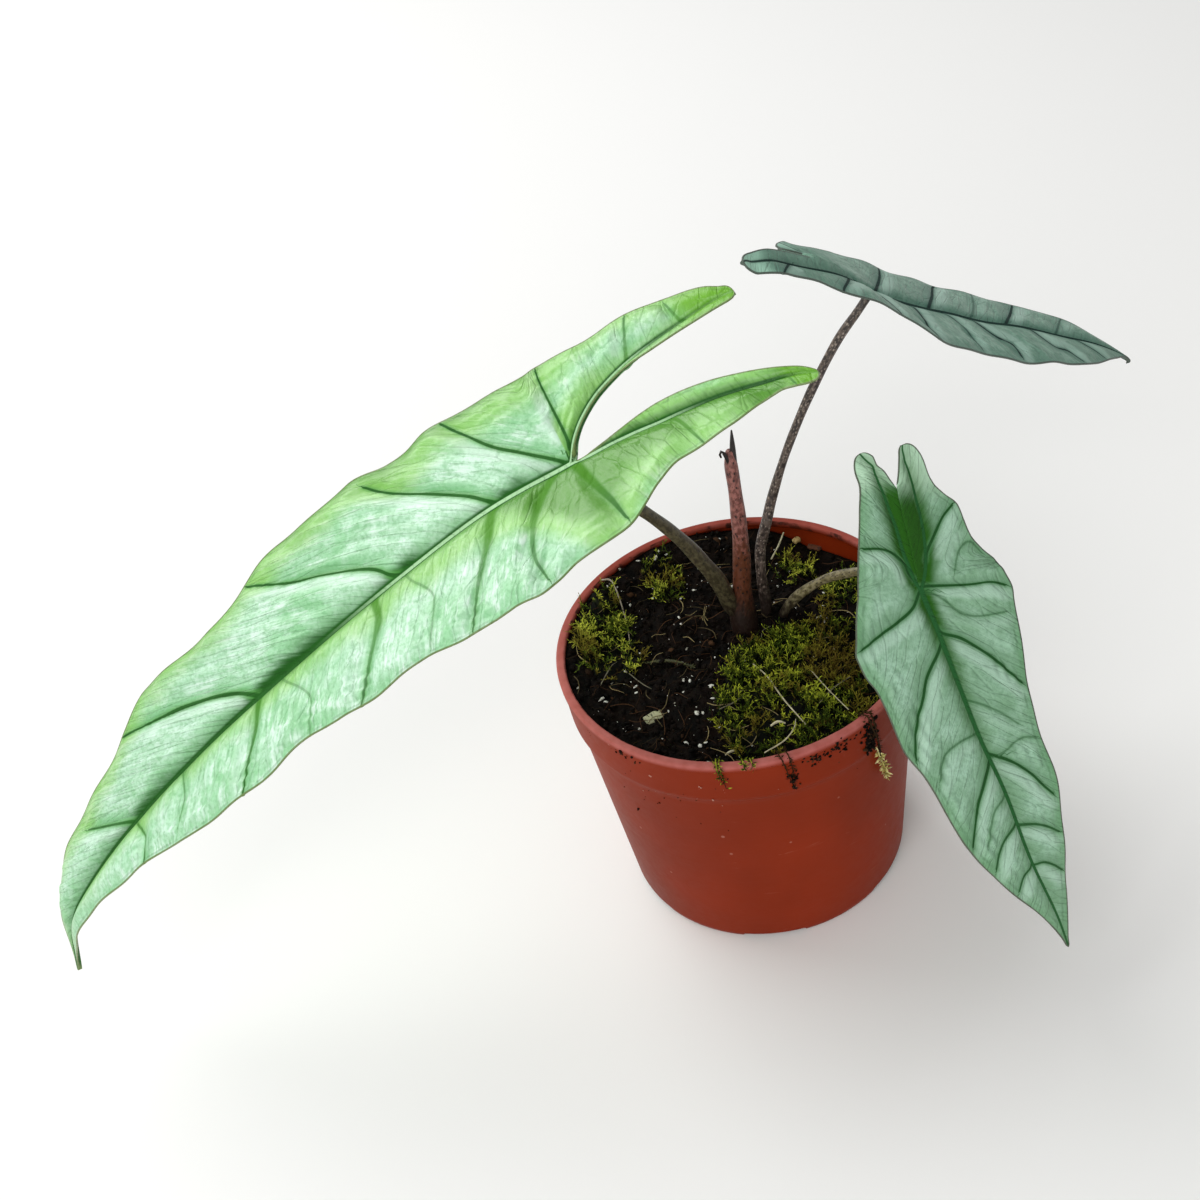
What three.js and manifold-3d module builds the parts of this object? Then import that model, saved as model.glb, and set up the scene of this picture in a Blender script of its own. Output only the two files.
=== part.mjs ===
// A potted corazon alocasia: three arrow-shaped leaves and one rolled new leaf that rise from a rhizome
// in a small nursery pot. Millimetres, +Z up, origin on the ground under the middle of the pot.

import * as THREE from "three";
import { mergeVertices } from "three/addons/utils/BufferGeometryUtils.js";
import Module from "manifold-3d";

const wasm = await Module();
wasm.setup();

// Gap between pieces that touch
const GAP = 0.3;

// Pot
const POT_HEIGHT = 98;
const POT_RIM_RADIUS = 60;
const POT_BASE_RADIUS = 49;
const POT_SIDES = 44;
const BAND_BOTTOM = 80.5;
const BAND_STEP = 1.6;
const BODY_TOP_RADIUS = 57;
const WALL = 1.6;
const LIP_WIDTH = 3;
const LIP_HEIGHT = 2.4;
const FLOOR_LIFT = 3;
const CHANNEL_INNER = 22;
const CHANNEL_OUTER = 38;
const FOOT_NOTCHES = 6;
const FIRST_NOTCH = 261;
const NOTCH_WIDTH = 21.6;
const NOTCH_DEPTH = 2;
const NOTCH_REACH = 12;
const FOOT_FLOOR = NOTCH_DEPTH + WALL;
const DRAIN_HOLES = 6;
const DRAIN_RADIUS = 4;
const DRAIN_RING = 30;
const DRAIN_SIDES = 14;

// Soil
const SOIL_LEVEL = 91.5;
const SOIL_SIDES = 32;
const SOIL_HOLLOW = 3;
const SOIL_BACK_DROP = 5;

// Leaf blades: thickness of the sheet, and the ribs under it
const BLADE = 0.8;
const MIDRIB_RADIUS = 1.6;
const COSTA_RADIUS = 1.1;
const RIB_END_RADIUS = 0.45;
const RIB_SINK = 0.3;
const RIB_SIDES = 6;
const BARE_TIP = 8;
const HALVES_OVERLAP = 0.6;
const BLADE_COLUMNS = 3;
const FIRST_COLUMN = 0.3;
const STEM_SIDES = 10;
const STEM_STEPS_PER_ROW = 1.5;

// A blade is a sheet bent along its spine. Distances along it run from the petiole joint, negative into
// the two back lobes and positive to the tip. A lobe row is distance, sinus edge, rib and outer edge. A
// blade row is distance and outer edge. A lift row is distance and the angle at which that half rises.
const BIG_LEAF = {
  name: "big_leaf",
  spine: [
    [33, -3, 216], [13, -5, 210], [-7, -8, 203], [-25, -11, 196], [-41, -14, 191], [-68, -17, 183],
    [-100, -20, 167], [-133, -23, 148], [-169, -26, 125], [-200, -28, 101], [-222, -30, 80],
    [-233, -30, 64], [-239, -30, 41],
  ],
  joint: 4,
  facing: [-0.4, -0.3, 0.85],
  strip: 24,
  left: {
    lobe: [
      [-75.1, 21.3, 22.2, 23.4], [-74.2, 20.2, 21.7, 24.3], [-71.6, 17.7, 19.7, 24.3], [-68, 15.4, 18, 23.3],
      [-63, 12.8, 16.4, 21.9], [-56, 9.6, 14, 21.8], [-45, 5, 10.2, 23.4], [-36, 2.4, 7.8, 23.3],
      [-28, 1, 5.8, 22.9], [-20, 0.4, 3.4, 25.6], [-12, 0.4, 1.8, 29.4], [-5, 0.4, 1, 33.4],
    ],
    blade: [
      [0, 34.3], [9, 35], [17, 38], [23, 39.6], [32, 38], [48, 37.2], [63, 32.8], [80, 32.6],
      [96, 30.4], [110, 27], [124, 28.4], [142, 27], [160, 24.4], [179, 18.4], [199, 14], [216, 9.8],
      [230, 7.6], [240, 5], [248, 2.4], [253, 1], [258, 0.5],
    ],
    lift: [[-80, 6], [260, 6]],
  },
  right: {
    lobe: [
      [-65.7, 17.4, 18.5, 19.8], [-64.8, 16.1, 18.7, 21.4], [-62.6, 15.3, 19.2, 22.8],
      [-59.7, 15.2, 19.5, 24.8], [-53.3, 15.3, 19.6, 27.9], [-46, 15.6, 19.5, 30.4], [-38, 15.7, 19.2, 32],
      [-30, 16.2, 18.7, 33.1], [-19, 14.9, 16.4, 33.8], [-10, 10.2, 11.6, 34.9], [-4, 5, 6.2, 35.5],
    ],
    blade: [
      [0, 35], [8, 34.2], [16, 34.4], [25, 34.6], [34, 35.3], [43, 34.2], [49, 34.4], [64, 38.4],
      [78, 37.4], [93, 38.2], [108, 35.4], [125, 31], [142, 31.6], [159, 33], [172, 27.2], [191, 21],
      [213, 17.4], [226, 13.4], [236, 7.6], [244, 3.4], [252, 1.2], [258, 0.5],
    ],
    lift: [[-80, 6], [260, 6]],
  },
  petiole: [
    [4, 13, 72, 3.2], [4, 13, 92, 3.2], [1, 12, 101, 3], [-2, 9, 114, 2.8], [-6.3, 5.9, 125.9, 2.6],
    [-11.2, 2.9, 137.9, 2.3], [-17, -2, 151, 2.1], [-24, -7, 164, 1.9], [-32, -12, 177, 1.8],
    [-39, -14.5, 186.5, 1.7], [-42, -15, 191, 1.6],
  ],
  colour: 0x8fc68f,
};

// The outer edge of the upper leaf, the same on both halves, by distance along the spine.
const UPPER_EDGE = [
  [0, 20.6], [7, 22.6], [14, 24.2], [22, 24.1], [32, 23.4], [45, 22.4], [58, 22.5], [70, 21.5],
  [82, 19.8], [92, 18.4], [101, 16.6], [108, 14.4], [114, 12.2], [120, 9.8], [126, 7.2], [132, 4.4],
  [137, 2], [141, 0.9], [145, 0.6], [147.4, 0.5],
];

const UPPER_LEAF = {
  name: "upper_leaf",
  spine: [
    [13, -9, 252], [23, -2, 242], [33, 5, 232], [45, 12, 221], [56, 20, 207], [65, 25, 197],
    [76, 31, 187], [87, 37, 178], [99, 43, 168], [113, 50, 158], [128, 57, 146], [143, 64, 134],
    [156, 70, 121], [157.5, 70.8, 117.5], [157, 70.6, 114.5],
  ],
  joint: 4,
  facing: [0.64, 0.03, 0.77],
  strip: 14,
  right: {
    lobe: [
      [-64, 7.4, 8.4, 9.7], [-63.2, 6.6, 8, 10.6], [-61.4, 5.6, 7.6, 11.4], [-58, 4.6, 7.2, 12],
      [-50, 2.8, 6.6, 13.2], [-43, 1.8, 6.2, 13.4], [-37, 1.2, 5.8, 13.8], [-30, 0.9, 5.2, 15.6],
      [-20, 0.6, 4.2, 17.8], [-10, 0.4, 2.4, 18.8],
    ],
    blade: UPPER_EDGE,
    lift: [[-60, -16], [-50, 1], [-30, 3], [-12, 7], [0, 9], [20, 5], [45, 1], [100, 0], [141, -3]],
  },
  left: {
    lobe: [
      [-34.2, 5.4, 6.4, 7.7], [-33.4, 4.4, 6.2, 9], [-31.6, 3.2, 6, 10.8], [-28.6, 2.2, 5.8, 13.2],
      [-25, 1.5, 5.4, 15.4], [-20, 0.9, 4.6, 17.6], [-10, 0.4, 2.4, 20],
    ],
    blade: UPPER_EDGE,
    lift: [[-50, -16], [-20, -15], [0, -7], [20, -4], [45, -7], [92, -9], [108, -3], [141, 0]],
  },
  petiole: [
    [11.5, 15.5, 72, 2], [13, 16, 92, 2], [13, 16, 106, 1.8], [14.1, 17, 117, 1.8], [17.4, 17, 128, 1.8],
    [20.6, 18, 137, 1.7], [27.3, 18, 154, 1.5], [36.4, 19, 172, 1.5], [46.5, 20, 188, 1.5],
    [53.9, 20.4, 197, 1.4], [58.5, 21.3, 203.5, 1.4],
  ],
  colour: 0x708e80,
};

const RIGHT_LEAF = {
  name: "right_leaf",
  spine: [
    [53, 4, 160], [56, -4, 152], [56, -12, 144], [56, -21, 135], [56, -30, 126], [58, -38, 117],
    [60, -46, 107], [62, -55, 97], [64, -62, 88], [68, -72, 74], [72, -82, 54], [78, -88, 32],
    [81, -91, 17],
  ],
  joint: 4,
  facing: [0.25, -0.77, 0.58],
  strip: 12,
  left: {
    lobe: [
      [-43.6, 5.8, 6.6, 7.7], [-42.9, 4.9, 6.1, 9], [-41, 3.6, 5.4, 10.1], [-38.5, 2, 4.8, 10.6],
      [-35.1, 0.1, 4.8, 10.8], [-32, -1.2, 4.9, 11.9], [-29.3, -1.4, 5, 14], [-23.6, -1.4, 5.2, 17.9],
      [-18.7, -1.2, 5.1, 18.7], [-13.6, -1, 4.5, 20], [-9.7, -0.8, 3.8, 22.7], [-5.2, -0.5, 2.6, 26],
    ],
    blade: [
      [0, 27], [6, 27.6], [10, 28.1], [13, 27.3], [22, 25.1], [32, 22.8], [44, 20.2], [57, 18.4], [68, 17.6],
      [78, 16], [88, 13.7], [98, 10.8], [108, 7.1], [116, 4], [122, 2.2], [126, 1.1], [129.5, 0.5],
    ],
    lift: [[-46, 2], [130, 2]],
  },
  right: {
    lobe: [
      [-47.4, 6, 7, 7.9], [-46.7, 5, 6.8, 9.3], [-44.6, 3.7, 6.2, 10.9], [-42, 3.9, 5.3, 11.8],
      [-39.4, 3, 5.8, 12.2], [-35.8, 2.3, 5.9, 12.7], [-32.3, 1.2, 5.4, 13.2], [-26, 0.6, 4.3, 14.6],
      [-20, 0.4, 3.5, 16.4], [-13, 0.2, 3.1, 18.6], [-7, 0.1, 2.1, 19.8], [-2.5, 0, 1.1, 21],
    ],
    blade: [
      [0, 22.6], [5, 25.8], [11, 28.6], [17, 28], [24, 26], [33, 25.6], [42, 25], [52, 22],
      [64, 20.8], [74, 19.6], [82, 17.2], [90, 13.6], [98, 10.4], [108, 6.4], [116, 3.8],
      [122, 2], [126, 1], [129.5, 0.5],
    ],
    lift: [[-48, 2], [130, 2]],
  },
  petiole: [
    [10, 12.5, 73, 2], [15.4, 13.4, 84, 1.9], [18.9, 12.4, 92, 1.8], [24, 9.6, 100, 1.7],
    [32, 3, 110, 1.6], [40, -5, 117.4, 1.5], [47, -14, 123.5, 1.5], [52.5, -22.5, 125.5, 1.4],
    [56, -29.5, 125.5, 1.4],
  ],
  colour: 0x86b493,
};

// The rolled new leaf in its sheath, and the rhizome that all the stems rise from
const SPIKE = [
  [4.5, 12, 72, 4.2], [4.5, 12, 88, 4.9], [4.5, 12, 94, 4.6], [4.9, 12, 99, 3.9], [5.4, 12, 104, 3.3],
  [6.8, 11.4, 118, 2.9], [7.6, 10.4, 134, 2.5], [8, 10, 149, 2.2], [8.2, 10, 158, 2.1],
  [8.7, 10, 164.5, 1.2], [9.8, 10, 171.5, 0.4],
];
const RHIZOME = [
  [6, 12, 50, 4], [6.5, 12, 54, 8], [7, 12.5, 62, 10.5], [7, 13, 71, 11.5], [7.5, 13, 76.5, 10],
  [7.5, 13, 79, 6],
];

// Loose strands on the soil: rows of x, y, height over the soil and radius
const STRANDS = {
  dry_rootlet_left: [
    [-39, 42, 0.9, 0.45], [-35.5, 39, 1.4, 0.45], [-34, 26, 1.6, 0.45], [-34.5, 9, 1.4, 0.45],
  ],
  mossy_root: [[-31, 2, 1, 0.8], [-23, 0.5, 1.4, 0.8], [-16, -4, 1, 0.8]],
  straw_back: [[20, 42, 0.8, 0.5], [23.5, 45.5, 2.4, 0.5], [26.5, 48.5, 4.2, 0.5]],
  straw_front: [[3, -11, 3.4, 0.45], [7, -27, 4.6, 0.45], [12, -46, 3.6, 0.45]],
};

// Moss cushions: middle, height over the soil, and reach at each eighth of a turn from +X
const MOSS = {
  moss_right: { x: 18, y: -22, height: 4, reach: [33, 29, 26, 27, 29, 39, 32, 28] },
  moss_left: { x: -41, y: 18, height: 3.4, reach: [7, 9, 23, 12, 9, 13, 28, 15] },
  moss_mid_left: { x: -19, y: 38, height: 2.8, reach: [8, 8, 14, 9, 7, 7, 8, 8] },
  moss_back: { x: 27, y: 35, height: 3, reach: [8, 8, 8, 6, 6, 7, 7, 8] },
  moss_right_back: { x: 41, y: 17, height: 3, reach: [9, 8, 7, 7, 8, 9, 8, 8] },
};
const MOSS_LIMIT = 56.6;
const MOSS_ROOT = 3;
const MOSS_SIDES = 20;
const MOSS_RINGS = 6;
const STRAND_SIDES = 6;

// Finishes
const POT_COLOUR = 0x7c3222;
const SOIL_COLOUR = 0x1c1510;
const MOSS_COLOUR = 0x4c5a1c;
const STEM_COLOUR = 0x4d4636;
const SPIKE_COLOUR = 0x74493f;
const RHIZOME_COLOUR = 0x4a2c1c;
const STRAW_COLOUR = 0xa39b80;

const vector = (row) => new THREE.Vector3(row[0], row[1], row[2]);

// A closed solid from a geometry whose corners are moved by place
function solid(geometry, place = (corner) => corner) {
  geometry.deleteAttribute("normal");
  geometry.deleteAttribute("uv");
  const corners = geometry.getAttribute("position");
  const corner = new THREE.Vector3();
  for (let i = 0; i < corners.count; i += 1) {
    corner.fromBufferAttribute(corners, i);
    corners.setXYZ(i, ...place(corner).toArray());
  }
  const merged = mergeVertices(geometry, 1e-4);
  const order = merged.index.array;
  const faces = [];
  for (let i = 0; i < order.length; i += 3) {
    const [a, b, c] = [order[i], order[i + 1], order[i + 2]];
    if (a !== b && b !== c && c !== a) faces.push(a, b, c);
  }
  return new wasm.Manifold(
    new wasm.Mesh({
      numProp: 3,
      vertProperties: merged.getAttribute("position").array,
      triVerts: new Uint32Array(faces),
    }),
  );
}

// The largest body of a cut solid, so that no crumb is left beside it
function whole(cut) {
  return cut.decompose().reduce((best, body) => (body.volume() > best.volume() ? body : best));
}

function node(name, made, colour, roughness) {
  const cut = made.getMesh();
  const geometry = new THREE.BufferGeometry();
  geometry.setAttribute("position", new THREE.BufferAttribute(cut.vertProperties, 3));
  geometry.setIndex(new THREE.BufferAttribute(cut.triVerts, 1));
  geometry.computeVertexNormals();
  const finish = new THREE.MeshStandardMaterial({ color: colour, roughness, metalness: 0 });
  const mesh = new THREE.Mesh(geometry, finish);
  mesh.name = name;
  return mesh;
}

// A value between the rows of a table whose first column rises
function between(rows, at, column = 1) {
  const last = rows.length - 1;
  const next = Math.min(last, Math.max(1, rows.findIndex((row) => row[0] >= at)));
  const [a, b] = [rows[next - 1], rows[next]];
  const part = THREE.MathUtils.clamp((at - a[0]) / (b[0] - a[0]), 0, 1);
  return a[column] + (b[column] - a[column]) * part;
}

// A tapered stem along rows of x, y, z and radius, thicker all round by grow
function stem(rows, grow = 0, sides = STEM_SIDES) {
  const route = new THREE.CatmullRomCurve3(rows.map(vector), false, "catmullrom", 0.5);
  const steps = Math.round(STEM_STEPS_PER_ROW * (rows.length - 1));
  const radii = rows.map((row, index) => [index / (rows.length - 1), row[3] + grow]);
  const across = new THREE.Vector3();
  const up = new THREE.Vector3();
  const ends = (part) => Math.floor(part) - (part === 0 ? 1 : 0);
  return solid(new THREE.CylinderGeometry(1, 1, 1, sides, steps), (corner) => {
    const part = corner.y + 0.5;
    const along = route.getTangent(part);
    across.set(1, 0, 0).addScaledVector(along, -along.x).normalize();
    up.crossVectors(across, along);
    const radius = between(radii, part);
    return route
      .getPoint(part)
      .addScaledVector(across, corner.x * radius)
      .addScaledVector(up, corner.z * radius)
      .addScaledVector(along, ends(part) * grow);
  });
}

// The sheet that a blade is bent to: its spine, and the sideways and upward directions at a distance
class Sheet {
  constructor(leaf) {
    this.curve = new THREE.CatmullRomCurve3(leaf.spine.map(vector), false, "catmullrom", 0.5);
    this.curve.arcLengthDivisions = 40 * (leaf.spine.length - 1);
    const lengths = this.curve.getLengths();
    this.length = lengths[lengths.length - 1];
    this.joint = lengths[40 * leaf.joint];
    this.facing = vector(leaf.facing).normalize();
  }

  frame(distance) {
    const part = THREE.MathUtils.clamp((distance + this.joint) / this.length, 0, 1);
    const along = this.curve.getTangentAt(part);
    const side = new THREE.Vector3().crossVectors(this.facing, along).normalize();
    const up = new THREE.Vector3().crossVectors(along, side);
    return { middle: this.curve.getPointAt(part), along, side, up };
  }
}

// A point of one half of a blade: width from the spine, and rise over the sheet at the inner strip
function onBlade(sheet, leaf, half, distance, width, rib) {
  const sign = half === "left" ? 1 : -1;
  const lift = Math.tan(THREE.MathUtils.degToRad(between(leaf[half].lift, distance)));
  const fold = Math.tan(THREE.MathUtils.degToRad(leaf.strip));
  const rise = lift * width + fold * Math.max(0, rib - width);
  const { middle, side, up } = sheet.frame(distance);
  return middle.addScaledVector(side, sign * width).addScaledVector(up, rise);
}

// One half of a blade, lobe and all, as a bent box whose columns run from the inner edge to the margin
function bladeHalf(sheet, leaf, half) {
  const sign = half === "left" ? 1 : -1;
  const rows = [
    ...leaf[half].lobe,
    ...leaf[half].blade.map(([distance, outer]) => [distance, -HALVES_OVERLAP, 0, outer]),
  ];
  const columns = BLADE_COLUMNS;
  const box = new THREE.BoxGeometry(1, 1, 1, columns, rows.length - 1, 1);
  return solid(box, (corner) => {
    const [distance, inner, rib, outer] = rows[Math.round((corner.y + 0.5) * (rows.length - 1))];
    const column = Math.round((corner.x + 0.5) * columns);
    const start = rib === 0 ? FIRST_COLUMN * outer : rib;
    const width = column === 0 ? inner : start + ((outer - start) * (column - 1)) / (columns - 1);
    const { up } = sheet.frame(distance);
    return onBlade(sheet, leaf, half, distance, width, rib).addScaledVector(up, -sign * corner.z * BLADE);
  });
}

// A rib under the blade, along points of the sheet, thinning to its end
function ribUnder(sheet, points, radius) {
  const rows = points.map(({ point, distance }, index) => {
    const thin = THREE.MathUtils.lerp(radius, RIB_END_RADIUS, index / (points.length - 1));
    const { up } = sheet.frame(distance);
    return [...point.addScaledVector(up, -0.5 * BLADE - RIB_SINK * thin).toArray(), thin];
  });
  return stem(rows, 0, RIB_SIDES);
}

function blade(leaf) {
  const sheet = new Sheet(leaf);
  const ribEnd = sheet.length - sheet.joint - BARE_TIP;
  const midrib = leaf.left.blade
    .map(([distance]) => distance)
    .filter((distance, index) => index % 2 === 0 && distance < ribEnd)
    .map((distance) => ({ distance, point: sheet.frame(distance).middle }));
  const ribs = [ribUnder(sheet, midrib, MIDRIB_RADIUS)];
  for (const half of ["left", "right"]) {
    const costa = [[0, 0, 0, 0], ...leaf[half].lobe.slice(1).reverse()];
    const points = costa.map(([distance, , rib]) => ({
      distance,
      point: onBlade(sheet, leaf, half, distance, rib, rib),
    }));
    ribs.push(ribUnder(sheet, points, COSTA_RADIUS));
  }
  const halves = bladeHalf(sheet, leaf, "left").add(bladeHalf(sheet, leaf, "right"));
  return ribs.reduce((made, rib) => made.add(rib), halves);
}

// A block over the underside of the joint, where a petiole ends against the rib
function overJoint(leaf) {
  const sheet = new Sheet(leaf);
  const { middle, along, side, up } = sheet.frame(0);
  const size = 24;
  const under = 0.5 * BLADE + (1 + RIB_SINK) * MIDRIB_RADIUS + GAP;
  return solid(new THREE.BoxGeometry(size, size, size), (corner) =>
    middle
      .clone()
      .addScaledVector(along, corner.x)
      .addScaledVector(side, corner.y)
      .addScaledVector(up, corner.z + 0.5 * size - under),
  );
}

// The pot's radius outside its wall at a height below the band
function bodyRadius(height) {
  const part = height / BAND_BOTTOM;
  return THREE.MathUtils.lerp(POT_BASE_RADIUS - 1, BODY_TOP_RADIUS, part);
}

function profile(rows) {
  return rows.map(([radius, height]) => new THREE.Vector2(radius, height));
}

// A lathed solid: the profile runs counterclockwise round its section
function turned(rows, sides) {
  const lathe = new THREE.LatheGeometry(profile(rows), sides);
  return solid(lathe, (corner) => new THREE.Vector3(corner.x, -corner.z, corner.y));
}

function pot() {
  const floor = FLOOR_LIFT + WALL;
  const bandRadius = BODY_TOP_RADIUS + BAND_STEP;
  const rim = POT_RIM_RADIUS;
  const shell = turned(
    [
      [0, 0], [CHANNEL_INNER, 0], [CHANNEL_INNER + 2, FLOOR_LIFT], [CHANNEL_OUTER - 2, FLOOR_LIFT],
      [CHANNEL_OUTER, 0], [POT_BASE_RADIUS - 3, 0], [POT_BASE_RADIUS - 1, 1.2], [bodyRadius(4), 4],
      [BODY_TOP_RADIUS, BAND_BOTTOM], [bandRadius, BAND_BOTTOM + 1.2], [rim, POT_HEIGHT - LIP_HEIGHT],
      [rim, POT_HEIGHT - 0.8], [rim - 0.8, POT_HEIGHT], [rim - LIP_WIDTH + 0.8, POT_HEIGHT],
      [rim - LIP_WIDTH, POT_HEIGHT - 0.8], [rim - LIP_WIDTH, POT_HEIGHT - LIP_HEIGHT + 0.6],
      [rim - WALL - 0.2, POT_HEIGHT - LIP_HEIGHT - 1], [bandRadius - WALL, BAND_BOTTOM + 1],
      [BODY_TOP_RADIUS - WALL, BAND_BOTTOM - 1], [bodyRadius(6) - WALL, 6],
      [POT_BASE_RADIUS - 4, FOOT_FLOOR], [CHANNEL_OUTER + 1, FOOT_FLOOR], [CHANNEL_OUTER - 1, floor],
      [CHANNEL_INNER + 1, floor], [CHANNEL_INNER - 1, WALL], [0, WALL],
    ],
    POT_SIDES,
  );
  let made = shell;
  const cutAt = (geometry, radius, height, angle) =>
    solid(geometry.rotateZ(angle).translate(radius * Math.cos(angle), radius * Math.sin(angle), height));
  for (let k = 0; k < FOOT_NOTCHES; k += 1) {
    const angle = THREE.MathUtils.degToRad(FIRST_NOTCH) + (k * 2 * Math.PI) / FOOT_NOTCHES;
    const notch = new THREE.BoxGeometry(NOTCH_REACH, NOTCH_WIDTH, 2 * NOTCH_DEPTH);
    made = made.subtract(cutAt(notch, POT_BASE_RADIUS, 0, angle));
  }
  for (let k = 0; k < DRAIN_HOLES; k += 1) {
    const angle = ((k + 0.5) * 2 * Math.PI) / DRAIN_HOLES;
    const drill = new THREE.CylinderGeometry(DRAIN_RADIUS, DRAIN_RADIUS, 4 * WALL, DRAIN_SIDES);
    made = made.subtract(cutAt(drill.rotateX(Math.PI / 2), DRAIN_RING, FLOOR_LIFT + 1, angle));
  }
  return made;
}

// Height of the soil: nearly level, hollow round the crown, lower at the back right, and lumpy
function soilTop(x, y) {
  const crown = Math.exp(-((x - 2) ** 2 + (y - 6) ** 2) / 300);
  const back = Math.exp(-((x - 34) ** 2 + (y - 38) ** 2) / 400);
  const lumps = 0.7 * Math.sin(x / 7 + 1) * Math.cos(y / 6) + 0.4 * Math.sin((x + y) / 4);
  return SOIL_LEVEL - SOIL_HOLLOW * crown - SOIL_BACK_DROP * back + lumps;
}

function soil(lift = 0) {
  const inner = (height) => bodyRadius(height) - WALL - GAP;
  const edge = BODY_TOP_RADIUS + BAND_STEP - WALL - GAP;
  const rings = [edge + 0.4, 49, 40, 31, 22, 12, 0];
  const base = WALL + GAP;
  const body = new THREE.LatheGeometry(
    profile([
      [0, base], [CHANNEL_INNER - 1.4, base], [CHANNEL_INNER + 0.8, FLOOR_LIFT + base],
      [CHANNEL_OUTER - 0.8, FLOOR_LIFT + base], [CHANNEL_OUTER + 1.4, FOOT_FLOOR + GAP],
      [POT_BASE_RADIUS - 4.4, FOOT_FLOOR + GAP], [inner(6.4), 6.4], [inner(BAND_BOTTOM - 1), BAND_BOTTOM - 1],
      [edge, BAND_BOTTOM + 2], ...rings.map((radius) => [radius, SOIL_LEVEL]),
    ]),
    SOIL_SIDES,
  );
  return solid(body, (corner) => {
    const [x, y, z] = [corner.x, -corner.z, corner.y];
    const top = Math.abs(z - SOIL_LEVEL) < 1e-3;
    return new THREE.Vector3(x, y, top ? soilTop(x, y) + lift : z);
  });
}

// A cushion of moss: a squashed ball with an uneven outline, flat where it lies on the soil
function moss(patch) {
  const turns = [...patch.reach, patch.reach[0]].map((reach, index) => [index / 8, reach]);
  return solid(new THREE.SphereGeometry(1, MOSS_SIDES, MOSS_RINGS), (corner) => {
    const [x, y, z] = [corner.x, -corner.z, corner.y];
    const turn = (Math.atan2(y, x) / (2 * Math.PI) + 1) % 1;
    const reach = between(turns, turn);
    const place = new THREE.Vector3(patch.x + x * reach, patch.y + y * reach, 0);
    place.setLength(Math.min(MOSS_LIMIT, place.length()));
    const rise = z > 0 ? patch.height * Math.sqrt(z) : MOSS_ROOT * z;
    return place.setZ(soilTop(place.x, place.y) + rise);
  });
}

function strand(rows, grow = 0) {
  const lying = rows.map(([x, y, over, radius]) => [x, y, soilTop(x, y) + over, radius]);
  return stem(lying, grow, STRAND_SIDES);
}

const leaves = [BIG_LEAF, UPPER_LEAF, RIGHT_LEAF];
const plant = new THREE.Group();

plant.add(node("nursery_pot", pot(), POT_COLOUR, 0.5));

// Stems: each leaf stalk gives way to the thicker stems beside it
const rhizome = stem(RHIZOME);
const spike = stem(SPIKE).subtract(stem(RHIZOME, GAP));
const petioles = [];
const taken = [stem(RHIZOME, GAP), stem(SPIKE, GAP)];
for (const leaf of leaves) {
  const bare = stem(leaf.petiole).subtract(overJoint(leaf));
  petioles.push(whole(taken.reduce((made, other) => made.subtract(other), bare)));
  taken.push(stem(leaf.petiole, GAP));
}

leaves.forEach((leaf, index) => {
  plant.add(node(leaf.name + "_blade", blade(leaf), leaf.colour, 0.45));
  plant.add(node(leaf.name + "_petiole", petioles[index], STEM_COLOUR, 0.6));
});
plant.add(node("new_leaf_spike", whole(spike), SPIKE_COLOUR, 0.55));
plant.add(node("rhizome", rhizome, RHIZOME_COLOUR, 0.8));

plant.add(
  node("potting_soil", whole(taken.reduce((made, stalk) => made.subtract(stalk), soil())), SOIL_COLOUR, 0.95),
);

const raisedSoil = soil(GAP);
const lying = Object.values(STRANDS).map((rows) => strand(rows, GAP));
for (const [name, patch] of Object.entries(MOSS)) {
  const cutters = [raisedSoil, ...taken, ...lying];
  const cushion = cutters.reduce((made, other) => made.subtract(other), moss(patch));
  plant.add(node(name, whole(cushion), MOSS_COLOUR, 0.9));
}

for (const [name, rows] of Object.entries(STRANDS)) {
  plant.add(node(name, whole(strand(rows).subtract(raisedSoil)), STRAW_COLOUR, 0.8));
}

export default plant;
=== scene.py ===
import logging
import math
from collections.abc import Iterator, Sequence
from contextlib import contextmanager
from dataclasses import dataclass, field
from enum import Enum

import bpy
import numpy as np
from mathutils import Matrix, Vector, noise


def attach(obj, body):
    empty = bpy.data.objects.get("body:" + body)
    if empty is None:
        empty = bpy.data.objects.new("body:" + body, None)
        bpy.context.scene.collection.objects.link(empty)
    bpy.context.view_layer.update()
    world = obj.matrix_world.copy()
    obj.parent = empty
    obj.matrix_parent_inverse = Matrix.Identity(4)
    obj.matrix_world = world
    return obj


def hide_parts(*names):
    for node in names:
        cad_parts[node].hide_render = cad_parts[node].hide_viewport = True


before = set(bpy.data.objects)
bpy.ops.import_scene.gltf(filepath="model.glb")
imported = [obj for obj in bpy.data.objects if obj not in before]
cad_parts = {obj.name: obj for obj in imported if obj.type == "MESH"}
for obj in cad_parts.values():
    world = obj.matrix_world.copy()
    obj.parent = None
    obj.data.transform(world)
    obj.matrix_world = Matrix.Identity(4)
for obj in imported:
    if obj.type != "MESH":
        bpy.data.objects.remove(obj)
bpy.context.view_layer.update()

# Looks of a potted corazon alocasia. Sizes are in millimetres until a mesh is placed.
MM = 0.001
BODY = "root"
LOG = logging.getLogger("alocasia")

Rows = Sequence[Sequence[float]]


class Slot(Enum):
    """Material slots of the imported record."""

    POT = "pot_plastic"
    SOIL = "soil"
    BIG_LEAF = "big_leaf_green"
    UPPER_LEAF = "upper_leaf_green"
    RIGHT_LEAF = "right_leaf_green"
    STALK = "stalk"
    SHEATH = "sheath"
    MOSS = "moss"
    STRAW = "straw"


class Half(Enum):
    """The halves of a blade, seen from above with the tip ahead. The value is the side's sign."""

    LEFT = 1.0
    RIGHT = -1.0


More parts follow.
